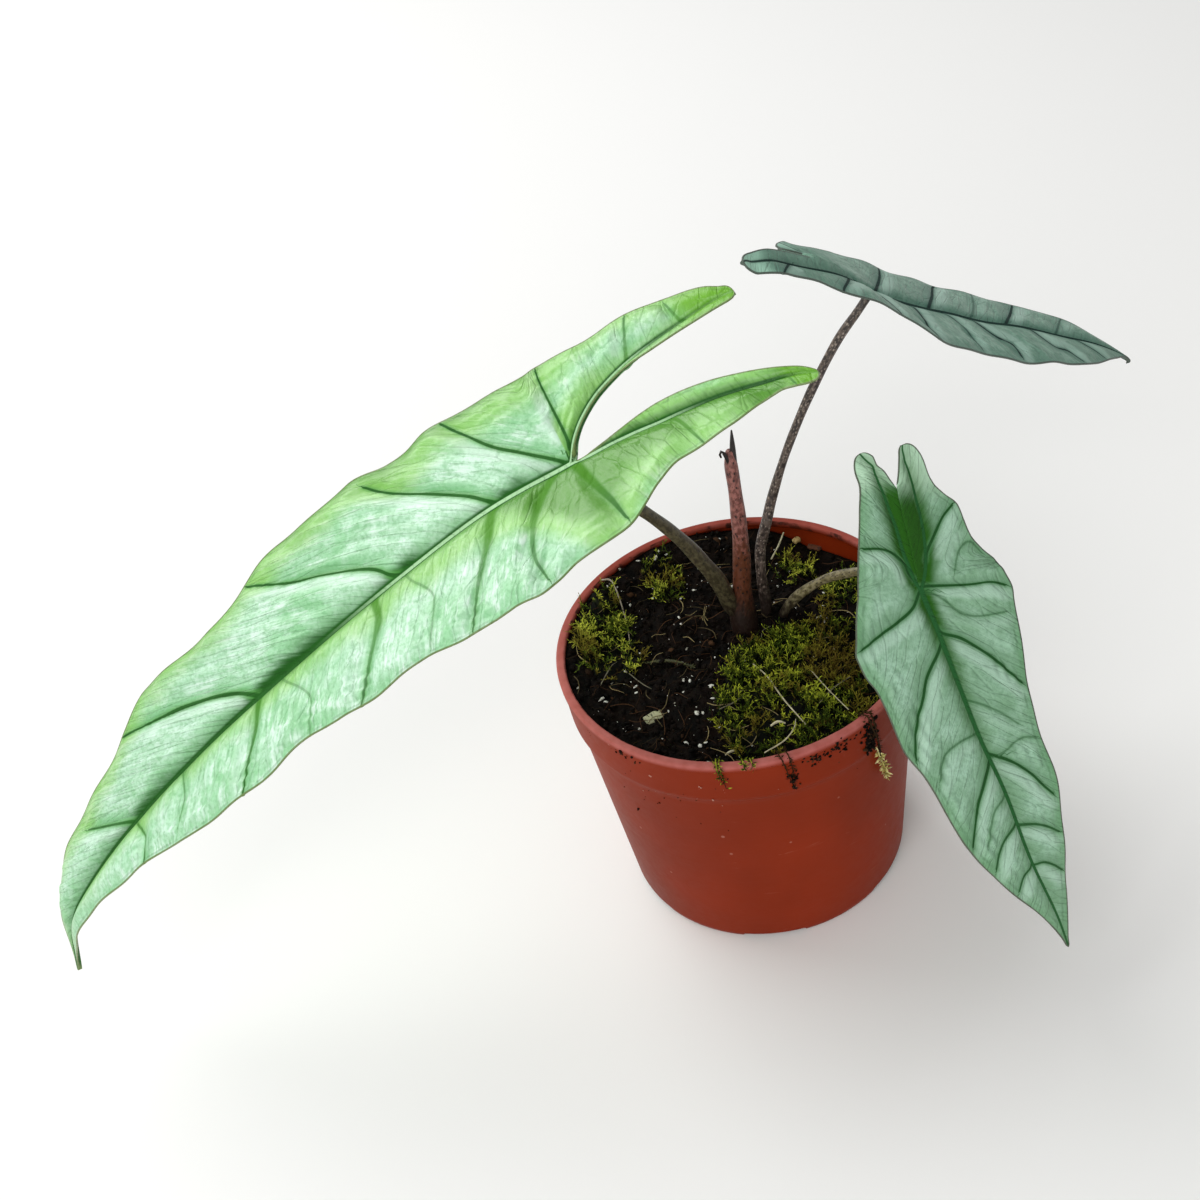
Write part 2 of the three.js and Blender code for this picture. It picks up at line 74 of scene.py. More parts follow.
def tint(code: str) -> tuple[float, float, float, float]:
    """The linear colour of a six-digit display colour."""
    parts = [int(code[k : k + 2], 16) / 255 for k in (0, 2, 4)]
    linear = [c / 12.92 if c <= 0.04045 else ((c + 0.055) / 1.055) ** 2.4 for c in parts]
    return (linear[0], linear[1], linear[2], 1.0)


# ---- Materials


class Wire:
    """A node's output that takes part in sums, so that shader maths reads as Python."""

    def __init__(self, paint: "Paint", socket: bpy.types.NodeSocket) -> None:
        """Holds the socket and the material it belongs to."""
        self.paint = paint
        self.socket = socket

    def _sum(self, operation: str, first: "Wire | float", second: "Wire | float") -> "Wire":
        """One Math node.

        Args:
            operation: the Math node's operation.
            first: its upper input.
            second: its lower input.

        Returns:
            The node's output.
        """
        return self.paint.wire("ShaderNodeMath", {"operation": operation}, {0: first, 1: second})

    def __add__(self, other: "Wire | float") -> "Wire":
        """self + other."""
        return self._sum("ADD", self, other)

    def __radd__(self, other: float) -> "Wire":
        """other + self."""
        return self._sum("ADD", other, self)

    def __sub__(self, other: "Wire | float") -> "Wire":
        """self - other."""
        return self._sum("SUBTRACT", self, other)

    def __rsub__(self, other: float) -> "Wire":
        """other - self."""
        return self._sum("SUBTRACT", other, self)

    def __mul__(self, other: "Wire | float") -> "Wire":
        """self * other."""
        return self._sum("MULTIPLY", self, other)

    def __abs__(self) -> "Wire":
        """The size without the sign."""
        return self.paint.wire("ShaderNodeMath", {"operation": "ABSOLUTE"}, {0: self})


class Paint:
    """A procedural material and the few kinds of node it is made of."""

    def __init__(self, name: str) -> None:
        """Starts a material with its shader."""
        self.material = bpy.data.materials.new(name)
        self.material.use_nodes = True
        self.tree = self.material.node_tree
        self.shader = next(n for n in self.tree.nodes if n.type == "BSDF_PRINCIPLED")

    def node(self, kind: str, settings: dict, sockets: dict) -> bpy.types.Node:
        """Adds a node.

        Args:
            kind: the node's type.
            settings: its own settings, set first.
            sockets: a value or a wire for each input, by name or number.

        Returns:
            The node.
        """
        made = self.tree.nodes.new(kind)
        for key, value in settings.items():
            setattr(made, key, value)
        for key, value in sockets.items():
            self._feed(made.inputs[key], value)
        return made

    def wire(self, kind: str, settings: dict, sockets: dict, output: int | str = 0) -> Wire:
        """Adds a node and returns one of its outputs."""
        return Wire(self, self.node(kind, settings, sockets).outputs[output])

    def _feed(self, socket: bpy.types.NodeSocket, value: "Wire | float | tuple") -> None:
        """Links or sets one input."""
        if isinstance(value, Wire):
            self.tree.links.new(value.socket, socket)
        else:
            socket.default_value = value

    def attribute(self, name: str, output: str = "Fac") -> Wire:
        """A value that the mesh carries at its corners."""
        settings = {"attribute_type": "GEOMETRY", "attribute_name": name}
        return self.wire("ShaderNodeAttribute", settings, {}, output)

    def attributes(self, *names: str) -> list[Wire]:
        """Several numbers that the mesh carries at its corners."""
        return [self.attribute(name) for name in names]

    def place(self) -> Wire:
        """Object coordinates."""
        return self.wire("ShaderNodeTexCoord", {}, {}, "Object")

    def stretched(self, vector: Wire, scale: tuple[float, float, float]) -> Wire:
        """Coordinates with another scale on each axis."""
        settings = {"operation": "MULTIPLY"}
        return self.wire("ShaderNodeVectorMath", settings, {0: vector, 1: scale})

    def axis(self, vector: Wire, name: str) -> Wire:
        """One component of a vector."""
        return self.wire("ShaderNodeSeparateXYZ", {}, {0: vector}, name)

    def noise(self, vector: Wire, scale: float, detail: float = 3.0, warp: float = 0.0) -> Wire:
        """Cloudy noise from 0 to 1."""
        sockets = {"Vector": vector, "Scale": scale, "Detail": detail, "Distortion": warp}
        return self.wire("ShaderNodeTexNoise", {}, sockets)

    def cells(self, vector: Wire, scale: float, feature: str = "F1") -> Wire:
        """Distance in a pattern of cells."""
        sockets = {"Vector": vector, "Scale": scale}
        return self.wire("ShaderNodeTexVoronoi", {"feature": feature}, sockets)

    def band(self, value: Wire, start: float, end: float) -> Wire:
        """A smooth step from 0 at start to 1 at end, which may be the lower of the two."""
        settings = {"interpolation_type": "SMOOTHSTEP"}
        low, high = min(start, end), max(start, end)
        ends = {"To Min": 0.0, "To Max": 1.0} if end > start else {"To Min": 1.0, "To Max": 0.0}
        sockets = {"Value": value, "From Min": low, "From Max": high, **ends}
        return self.wire("ShaderNodeMapRange", settings, sockets)

    def mix(self, factor: "Wire | float", first: "Wire | tuple", second: "Wire | tuple") -> Wire:
        """One colour over another, by a factor from 0 to 1."""
        sockets = {0: factor, 6: first, 7: second}
        return self.wire("ShaderNodeMix", {"data_type": "RGBA"}, sockets, 2)

    def over(self, base: "Wire | tuple", *coats: "tuple[Wire | float, str]") -> Wire:
        """Lays colours over one another.

        Args:
            base: the lowest colour.
            coats: a factor from 0 to 1 and a display colour for each layer, the lowest first.

        Returns:
            The colour that shows.
        """
        for factor, code in coats:
            base = self.mix(factor, base, tint(code))
        return base

    def bump(self, height: Wire, depth: float, strength: float = 1.0) -> Wire:
        """A bumped normal, with the relief's depth in millimetres."""
        sockets = {"Height": height, "Distance": depth * MM, "Strength": strength}
        return self.wire("ShaderNodeBump", {}, sockets)

    def done(self, **sockets: "Wire | float | tuple") -> bpy.types.Material:
        """Feeds the shader, where Base_Color stands for Base Color, and returns the material."""
        for key, value in sockets.items():
            self._feed(self.shader.inputs[key.replace("_", " ")], value)
        return self.material


# ---- Modelling


class Bench:
    """Hand moves on one object at a time."""

    @staticmethod
    def clear() -> None:
        """Nothing stays selected."""
        for thing in bpy.context.selected_objects:
            thing.select_set(False)

    @staticmethod
    def take(*things: bpy.types.Object) -> None:
        """Selects these objects alone, the first of them active."""
        Bench.clear()
        for thing in things:
            thing.select_set(True)
        bpy.context.view_layer.objects.active = things[0]

    @staticmethod
    @contextmanager
    def editing(thing: bpy.types.Object) -> Iterator[None]:
        """Edit mode on one object, with all of it selected."""
        Bench.take(thing)
        bpy.ops.object.mode_set(mode="EDIT")
        bpy.ops.mesh.select_all(action="SELECT")
        yield
        bpy.ops.object.mode_set(mode="OBJECT")

    @staticmethod
    def corners(thing: bpy.types.Object) -> np.ndarray:
        """The mesh's corners in millimetres."""
        flat = np.empty(len(thing.data.vertices) * 3)
        thing.data.vertices.foreach_get("co", flat)
        return flat.reshape(-1, 3) / MM

    @staticmethod
    def move(thing: bpy.types.Object, corners: np.ndarray) -> None:
        """Puts the mesh's corners at places in millimetres."""
        thing.data.vertices.foreach_set("co", (corners * MM).astype(np.float32).ravel())
        thing.data.update()

    @staticmethod
    def carry(thing: bpy.types.Object, **numbers: np.ndarray) -> None:
        """Stores named numbers or vectors at the corners for the material to read."""
        for name, values in numbers.items():
            kind, key = ("FLOAT", "value") if values.ndim == 1 else ("FLOAT_VECTOR", "vector")
            layer = thing.data.attributes.new(name, kind, "POINT")
            layer.data.foreach_set(key, values.astype(np.float32).ravel())

    @staticmethod
    def apply(thing: bpy.types.Object, kind: str, **settings: object) -> None:
        """Adds a modifier and applies it."""
        Bench.take(thing)
        modifier = thing.modifiers.new(kind.lower(), kind)
        for key, value in settings.items():
            setattr(modifier, key, value)
        bpy.ops.object.modifier_apply(modifier=modifier.name)

    @staticmethod
    def join(name: str, things: Sequence[bpy.types.Object]) -> bpy.types.Object:
        """Makes one object of several."""
        Bench.take(*things)
        if len(things) > 1:
            bpy.ops.object.join()
        things[0].name = things[0].data.name = name
        return things[0]

    @staticmethod
    def rings(name: str, profile: Rows, sides: int) -> bpy.types.Object:
        """Raises a closed body ring by ring from a filled circle.

        Args:
            name: the new object's name.
            profile: rows of radius and height, from the first cap to the last.
            sides: corners of each ring.

        Returns:
            The body, with its axis on Z.
        """
        radius, height = profile[0]
        Bench.clear()
        bpy.ops.mesh.primitive_circle_add(
            vertices=sides, radius=radius * MM, fill_type="NGON", location=(0, 0, height * MM)
        )
        body = bpy.context.object
        body.name = body.data.name = name
        bpy.ops.object.transform_apply(location=True)
        with Bench.editing(body):
            for next_radius, next_height in profile[1:]:
                bpy.ops.mesh.extrude_region_move()
                grow = next_radius / radius
                bpy.ops.transform.resize(value=(grow, grow, 1), center_override=(0, 0, 0))
                bpy.ops.transform.translate(value=(0, 0, (next_height - height) * MM))
                radius, height = next_radius, next_height
            bpy.ops.mesh.select_all(action="SELECT")
            bpy.ops.mesh.normals_make_consistent(inside=False)
        return body

    @staticmethod
    def hand_in(
        thing: bpy.types.Object,
        slot: Slot,
        materials: Sequence[bpy.types.Material],
        nodes: Sequence[str] = (),
        smooth: float | None = None,
    ) -> bpy.types.Object:
        """Dresses a finished piece and ties it to the frame.

        Args:
            thing: the piece.
            slot: the record's material slot, which is not used.
            materials: its materials, in the order of its faces' numbers.
            nodes: the CAD nodes that it stands for.
            smooth: the angle in degrees under which edges are shaded smooth, or None for flat faces.

        Returns:
            The piece.
        """
        thing.data.materials.clear()
        for material in materials:
            thing.data.materials.append(material)
        Bench.take(thing)
        if smooth is not None and smooth >= 180:
            bpy.ops.object.shade_smooth()
        elif smooth is not None:
            bpy.ops.object.shade_smooth_by_angle(angle=math.radians(smooth))
        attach(thing, BODY)
        if nodes:
            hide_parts(*nodes)
        LOG.info("%s: %d faces", thing.name, len(thing.data.polygons))
        return thing


@dataclass
class Template:
    """A small shape that is copied many times into one piece."""

    corners: np.ndarray
    loops: np.ndarray
    totals: np.ndarray
    rise: np.ndarray

    @classmethod
    def of(cls, thing: bpy.types.Object) -> "Template":
        """Takes a modelled shape's mesh and removes the object."""
        mesh = thing.data
        corners = Bench.corners(thing)
        loops = np.empty(len(mesh.loops), int)
        mesh.loops.foreach_get("vertex_index", loops)
        totals = np.empty(len(mesh.polygons), int)
        mesh.polygons.foreach_get("loop_total", totals)
        low, high = corners[:, 2].min(), corners[:, 2].max()
        bpy.data.objects.remove(thing)
        return cls(corners, loops, totals, (corners[:, 2] - low) / max(high - low, 1e-6))


class Copies:
    """Copies of templates gathered into one mesh, with a tint and a rise at each corner."""

    def __init__(self) -> None:
        """Starts with none."""
        self.corners: list[np.ndarray] = []
        self.loops: list[np.ndarray] = []
        self.totals: list[np.ndarray] = []
        self.rise: list[np.ndarray] = []
        self.tints: list[np.ndarray] = []
        self.count = 0

    def add(self, template: Template, turn: np.ndarray, place: np.ndarray, shade: float) -> None:
        """Adds one copy.

        Args:
            template: the shape.
            turn: a 3 by 3 matrix that turns and scales it.
            place: where its own origin goes.
            shade: a number from 0 to 1 that the material reads as its tint.
        """
        self.corners.append(template.corners @ turn.T + place)
        self.loops.append(template.loops + self.count)
        self.totals.append(template.totals)
        self.rise.append(template.rise)
        self.tints.append(np.full(len(template.corners), shade))
        self.count += len(template.corners)

    def piece(self, name: str) -> bpy.types.Object:
        """The gathered copies as one object."""
        mesh = bpy.data.meshes.new(name)
        loops, totals = np.concatenate(self.loops), np.concatenate(self.totals)
        mesh.vertices.add(self.count)
        mesh.loops.add(len(loops))
        mesh.polygons.add(len(totals))
        mesh.loops.foreach_set("vertex_index", loops.astype(np.int32))
        starts = np.concatenate([[0], np.cumsum(totals)[:-1]])
        mesh.polygons.foreach_set("loop_start", starts.astype(np.int32))
        thing = bpy.data.objects.new(name, mesh)
        bpy.context.scene.collection.objects.link(thing)
        Bench.move(thing, np.concatenate(self.corners))
        mesh.update(calc_edges=True)
        Bench.carry(thing, rise=np.concatenate(self.rise), tint=np.concatenate(self.tints))
        return thing


def turned(rng: np.random.Generator, tilt: float, size: float | Sequence[float]) -> np.ndarray:
    """A random turn about Z after a random tilt, times a size.

    Args:
        rng: the random numbers.
        tilt: the largest tilt from upright, in degrees.
        size: the scale, or one for each of X, Y and Z.

    Returns:
        A 3 by 3 matrix.
    """
    spin = Matrix.Rotation(rng.uniform(0, math.tau), 3, "Z")
    lean = Matrix.Rotation(math.radians(rng.uniform(0, tilt)), 3, "X")
    heading = Matrix.Rotation(rng.uniform(0, math.tau), 3, "Z")
    return np.array(heading @ lean @ spin) @ np.diag(np.broadcast_to(size, 3))


def eased(rows: Rows, at: np.ndarray, column: int = 1) -> np.ndarray:
    """A smooth curve through a table that doesn't overshoot its rows.

    Args:
        rows: rows whose first number rises.
        at: where the curve is read.
        column: the number in each row that it passes through.

    Returns:
        The curve's values.
    """
    xs = np.array([row[0] for row in rows], float)
    ys = np.array([row[column] for row in rows], float)
    slope = np.diff(ys) / np.diff(xs)
    inner = np.zeros(len(xs))
    inner[0], inner[-1] = slope[0], slope[-1]
    same = slope[:-1] * slope[1:] > 0
    total = np.where(same, slope[:-1] + slope[1:], 1.0)
    inner[1:-1] = np.where(same, 2 * slope[:-1] * slope[1:] / total, 0.0)
    at = np.clip(at, xs[0], xs[-1])
    k = np.clip(np.searchsorted(xs, at) - 1, 0, len(xs) - 2)
    width = xs[k + 1] - xs[k]
    t = (at - xs[k]) / width
    return (
        (2 * t**3 - 3 * t**2 + 1) * ys[k]
        + (t**3 - 2 * t**2 + t) * width * inner[k]
        + (3 * t**2 - 2 * t**3) * ys[k + 1]
        + (t**3 - t**2) * width * inner[k + 1]
    )


def through(points: Rows, steps: int) -> np.ndarray:
    """A curve that passes through points, with even steps between each two of them."""
    p = np.array(points, float)
    p = np.vstack([2 * p[0] - p[1], p, 2 * p[-1] - p[-2]])
    t = np.arange(steps)[:, None] / steps
    parts = [
        0.5 * (2 * b + (c - a) * t + (2 * a - 5 * b + 4 * c - d) * t**2 + (3 * b - a - 3 * c + d) * t**3)
        for a, b, c, d in zip(p, p[1:], p[2:], p[3:])
    ]
    return np.vstack([*parts, p[-2:-1]])


def unit(vectors: np.ndarray) -> np.ndarray:
    """Vectors of length one."""
    return vectors / np.maximum(np.linalg.norm(vectors, axis=-1, keepdims=True), 1e-9)


def polar(radius: float, angle: float, height: float) -> tuple[float, float, float]:
    """A place by its distance from the pot's axis, its turn from +X in radians, and its height."""
    return (radius * math.cos(angle), radius * math.sin(angle), height)


def ramp(value: np.ndarray, start: float, end: float) -> np.ndarray:
    """A smooth step from 0 at start to 1 at end."""
    t = np.clip((value - start) / (end - start), 0, 1)
    return t * t * (3 - 2 * t)


def clouds(points: np.ndarray, size: float, octaves: int = 4) -> np.ndarray:
    """Fractal noise at points, about -1 to 1, with lumps of a size in millimetres."""
    read = lambda p: noise.fractal(Vector(p) / size, 0.9, 2.0, octaves)
    return np.array([read(point) for point in points.tolist()])


# ---- Leaves


@dataclass(frozen=True)
class Vein:
    """A side vein over a half blade.

    Its route is rows of distance along the spine and width, start and end are its half widths, faint runs
    from 0 for a strong vein to 1 for none, and fresh is how much of the young leaf's yellow-green it has
    near the midrib.
    """

    route: Rows
    start: float = 0.62
    end: float = 0.34
    faint: float = 0.0
    fresh: float = 0.0


@dataclass(frozen=True)
class HalfShape:
    """One half of a blade.

    A lobe row is distance, sinus edge, rib and outer edge. An edge row is distance and outer edge, a lift
    row is distance and the angle at which the half rises, a lean row is distance and how far its small
    veins run towards the tip for each step outwards, a shade row is distance and how deep the painted shade
    is beside the midrib, and a blush row is distance and the width of the coloured band, which lies along
    the margin or, where inner is true, along the midrib. Sheen is how bright the painted highlight is on
    the tipward side of each vein, gloss how bright the painted highlight on its small folds is, arcs the
    height of the ripples inside the margin, and darker how much painted shade lies over its lobe.
    """

    lobe: Rows
    edge: Rows
    lift: Rows
    lean: Rows
    shade: Rows
    blush: Rows
    veins: tuple[Vein, ...]
    tip_reach: float = 14.0
    inner: bool = False
    sheen: float = 1.0
    gloss: float = 0.3
    arcs: float = 0.0
    darker: float = 0.0


@dataclass(frozen=True)
class LeafShape:
    """A blade bent along its spine, and the relief on it.

    Joint is the spine's row at which the stalk joins, facing the way the upper side looks, and rib the
    midrib's half widths at the joint and at the tip. Rows are the grid's steps along the lobe and ahead of
    it, and columns those inside and outside the lobe's rib.

    The lobes stand apart from their ends to the notch. The midrib is pale between the two distances of
    crown's middle and has faded at its outer two. Each side vein draws the sheet down over the two
    distances of reach, towards the tip and away from it. The strip inside each lobe's rib folds up by
    strip degrees. It has its dark strip_depth at most, and begins and is full at the distances strip_start
    from the lobe's end. Ragged is how unevenly the painted shade beside the midrib ends.
    """

    name: str
    spine: Rows
    joint: int
    facing: tuple[float, float, float]
    strip: float
    halves: dict[Half, HalfShape]
    rib: tuple[float, float]
    rows: tuple[int, int]
    columns: tuple[int, int]
    notch: float = 0.0
    crown: tuple[float, float, float, float] = (-999, -998, 998, 999)
    strip_fade: float = 40.0
    strip_start: tuple[float, float] = (8.0, 24.0)
    strip_depth: float = 1.0
    quilt: float = 1.0
    reach: tuple[float, float] = (3.0, 6.0)
    groove: float = 0.9
    ridge: float = 0.7
    pucker: float = 0.4
    wave: float = 0.5
    ragged: float = 0.45


@dataclass(frozen=True)
class LeafFinish:
    """Colours and gloss of a blade.

    Halo_reach and marginal are millimetres: how far the soft edge of a side vein goes, and how far the
    fine vein inside the margin is from it. Rib_edge is where the dark line beside the midrib starts and
    is full, in the midrib's half widths. The noise sizes are scales, of the streaks and the net along
    and across the small veins.
    """

    slot: Slot
    panel: str
    pale: str
    shade: str
    vein: str
    halo: str
    rib: str
    strip: str
    margin: str
    rim: str
    tips: str
    back: str
    back_vein: str
    roughness: float
    coat: float
    veinlets: float
    # The colour of the painted highlights on the folds and beside the veins.
    painted_highlight: str
    fresh: str = "5c9a2c"
    halo_reach: float = 3.5
    marginal: float = 0.0
    rib_edge: tuple[float, float] = (2.1, 1.0)
    wash: float = 0.7
    striped: float = 0.25
    cloud_scale: float = 38.0
    mottle_scale: float = 190.0
    grain_scale: float = 850.0
    streaks: tuple[float, float, float] = (0.8, 0.16, 0.0)
    net: tuple[float, float, float] = (0.22, 0.11, 0.0)

    def top(self) -> bpy.types.Material:
        """The upper surface: silvery panels between green veins, with a coloured margin."""
        paint = Paint(self.slot.value + "_top")
        place, flow = paint.place(), paint.attribute("flow", "Vector")
        vein = abs(paint.attribute("vein"))
        near, fresh, crown, rib = paint.attributes("near", "fresh", "crown", "rib")
        margin, sheen, gloss, ends = paint.attributes("margin", "sheen", "gloss", "tips")
        drift = paint.noise(place, self.cloud_scale, 3.0)
        mottle = paint.noise(place, self.mottle_scale, 4.0)
        grain = paint.noise(place, self.grain_scale, 2.0)
        striae = paint.noise(paint.stretched(flow, self.streaks), 1.0, 4.0, 0.6)
        cell = paint.cells(paint.stretched(flow, self.net), 1.0, "DISTANCE_TO_EDGE")
        net = paint.band(cell + mottle * 0.14, 0.16, 0.03)
        glow = paint.band(paint.attribute("open"), 0.6, 6.5) * paint.band(drift, 0.34, 0.6)
        blush = paint.attribute("blush") + drift * 14.0 + mottle * 3.0
        # Painted shade beside the midrib, and the darker green of the strip inside each lobe's rib.
        dark = paint.band(paint.attribute("dark") + striae * 0.3, 0.12, 0.95)
        young = paint.band(vein + mottle * 0.5, 2.1, 0.7) * near * fresh
        line = paint.band(vein + mottle * 0.4, 1.6, 0.8) * near * (1.0 - fresh * 0.9)
        seam = paint.band(abs(margin + striae * 0.8 - self.marginal), 0.5, 0.15)
        seam = seam * paint.band(mottle, 0.4, 0.6) * (0.3 if self.marginal else 0.0)
        edge = paint.band(rib + mottle * 0.3, *self.rib_edge) * (1.0 - ends * 0.7)
        colour = paint.over(
            tint(self.panel),
            (glow * 0.6 + paint.band(mottle, 0.38, 0.68) * 0.4, self.pale),
            (paint.band(grain, 0.58, 0.36) * 0.4, self.shade),
            (paint.band(striae, 0.54, 0.34) * self.striped, self.shade),
            # Painted highlight on the small folds.
            (paint.band(striae + mottle, 1.0, 1.35) * gloss, self.painted_highlight),
            # Painted highlight on the tipward side of each vein, painted shade on its other side.
            (paint.band(sheen, 0.05, 0.9) * 0.6, self.painted_highlight),
            (paint.band(sheen, -0.1, -0.9) * 0.65, self.shade),
            (net * self.veinlets, self.halo),
            # The yellow-green band: the leaf's own colour, along the margin partly a painted glow of light
            # shining through.
            (paint.band(blush, 5.0, 14.0) * self.wash, self.margin),
            (paint.band(blush + striae * 4.0, 16.0, 26.0) * 0.85, self.fresh),
            # The lobes' ends: partly their own colour, partly a painted glow of light shining through the
            # thin sheet.
            (paint.band(ends + mottle * 0.4, 0.25, 1.0) * 0.9, self.tips),
            (dark, self.strip),
            (paint.band(vein, self.halo_reach, 0.8) * near * (0.7 - fresh * 0.5), self.halo),
            (young, self.fresh),
            (line, self.vein),
            (seam, self.vein),
            (edge, self.vein),
            (paint.band(rib, 1.15, 0.7) * crown, self.rib),
            (paint.band(margin, 0.55, 0.25), self.rim),
        )
        height = striae * 0.7 + mottle * 0.5 + grain * 0.25 - net * 0.4
        dull = line * 0.5 + young * 0.5 + dark * 0.5 + edge * 0.3
        return paint.done(
            Base_Color=colour,
            Roughness=dull + mottle * 0.12 + (self.roughness - 0.06),
            Coat_Weight=(1.0 - dull * 2.0) * self.coat,
            Coat_Roughness=0.3,
            Specular_IOR_Level=0.4,
            Normal=paint.bump(height, 0.65, 0.95),
        )

    def under(self) -> bpy.types.Material:
        """The underside: paler, with raised veins."""
        paint = Paint(self.slot.value + "_underside")
        flow, vein = paint.attribute("flow", "Vector"), abs(paint.attribute("vein"))
        near, rib = paint.attributes("near", "rib")
        mottle = paint.noise(paint.place(), 120.0, 3.0)
        cell = paint.cells(paint.stretched(flow, (0.26, 0.12, 0.0)), 1.0, "DISTANCE_TO_EDGE")
        net = paint.band(cell, 0.14, 0.02)
        colour = paint.over(
            tint(self.back),
            (mottle * 0.6, self.panel),
            (net * 0.35, self.back_vein),
            (paint.band(vein, 1.6, 0.6) * near * 0.7, self.back_vein),
            (paint.band(rib, 1.6, 0.9), self.back_vein),
        )
        return paint.done(
            Base_Color=colour,
            Roughness=mottle * 0.1 + 0.5,
            Normal=paint.bump(net * 0.6 + mottle * 0.4, 0.25, 0.6),
        )


class Sheet:
    """The surface a blade is bent to, read at distances along its spine."""

    STEPS = 40
    REACH = 1.5

    def __init__(self, shape: LeafShape) -> None:
        """Measures the spine from the joint."""
        self.points = through(shape.spine, self.STEPS)
        lengths = np.linalg.norm(np.diff(self.points, axis=0), axis=1)
        self.along = np.concatenate([[0], np.cumsum(lengths)])
        self.along -= self.along[shape.joint * self.STEPS]
        self.facing = unit(np.array(shape.facing, float))

    def middle(self, along: np.ndarray) -> np.ndarray:
        """Points of the spine."""
        return np.stack([np.interp(along, self.along, self.points[:, k]) for k in range(3)], -1)

    def frame(self, along: np.ndarray) -> tuple[np.ndarray, np.ndarray, np.ndarray]:
        """The spine's points, and the sideways and upward directions there."""
        ahead = np.minimum(along + self.REACH, self.along[-1])
        behind = np.maximum(along - self.REACH, self.along[0])
        tangent = unit(self.middle(ahead) - self.middle(behind))
        side = unit(np.cross(np.broadcast_to(self.facing, tangent.shape), tangent))
        return self.middle(along), side, np.cross(tangent, side)


@dataclass
class Lay:
    """Where the corners of a half blade lie, with one number for each corner.

    Along is the distance along the spine and width the distance from it. Outer is the blade's edge there,
    rib the place of the midrib or the lobe's rib, margin the distance to the nearest edge, from_rib the
    distance to the rib and rib_width its half width. Ends runs from 0 at the blade's ends to 1, flow is
    the distance along the small veins, and folds is the place as the relief's noise reads it. Start and
    end are the distances of the lobe's end and of the tip.
    """

    along: np.ndarray
    width: np.ndarray
    outer: np.ndarray
    rib: np.ndarray
    margin: np.ndarray
    from_rib: np.ndarray
    rib_width: np.ndarray
    ends: np.ndarray
    flow: np.ndarray
    folds: np.ndarray
    start: float
    end: float


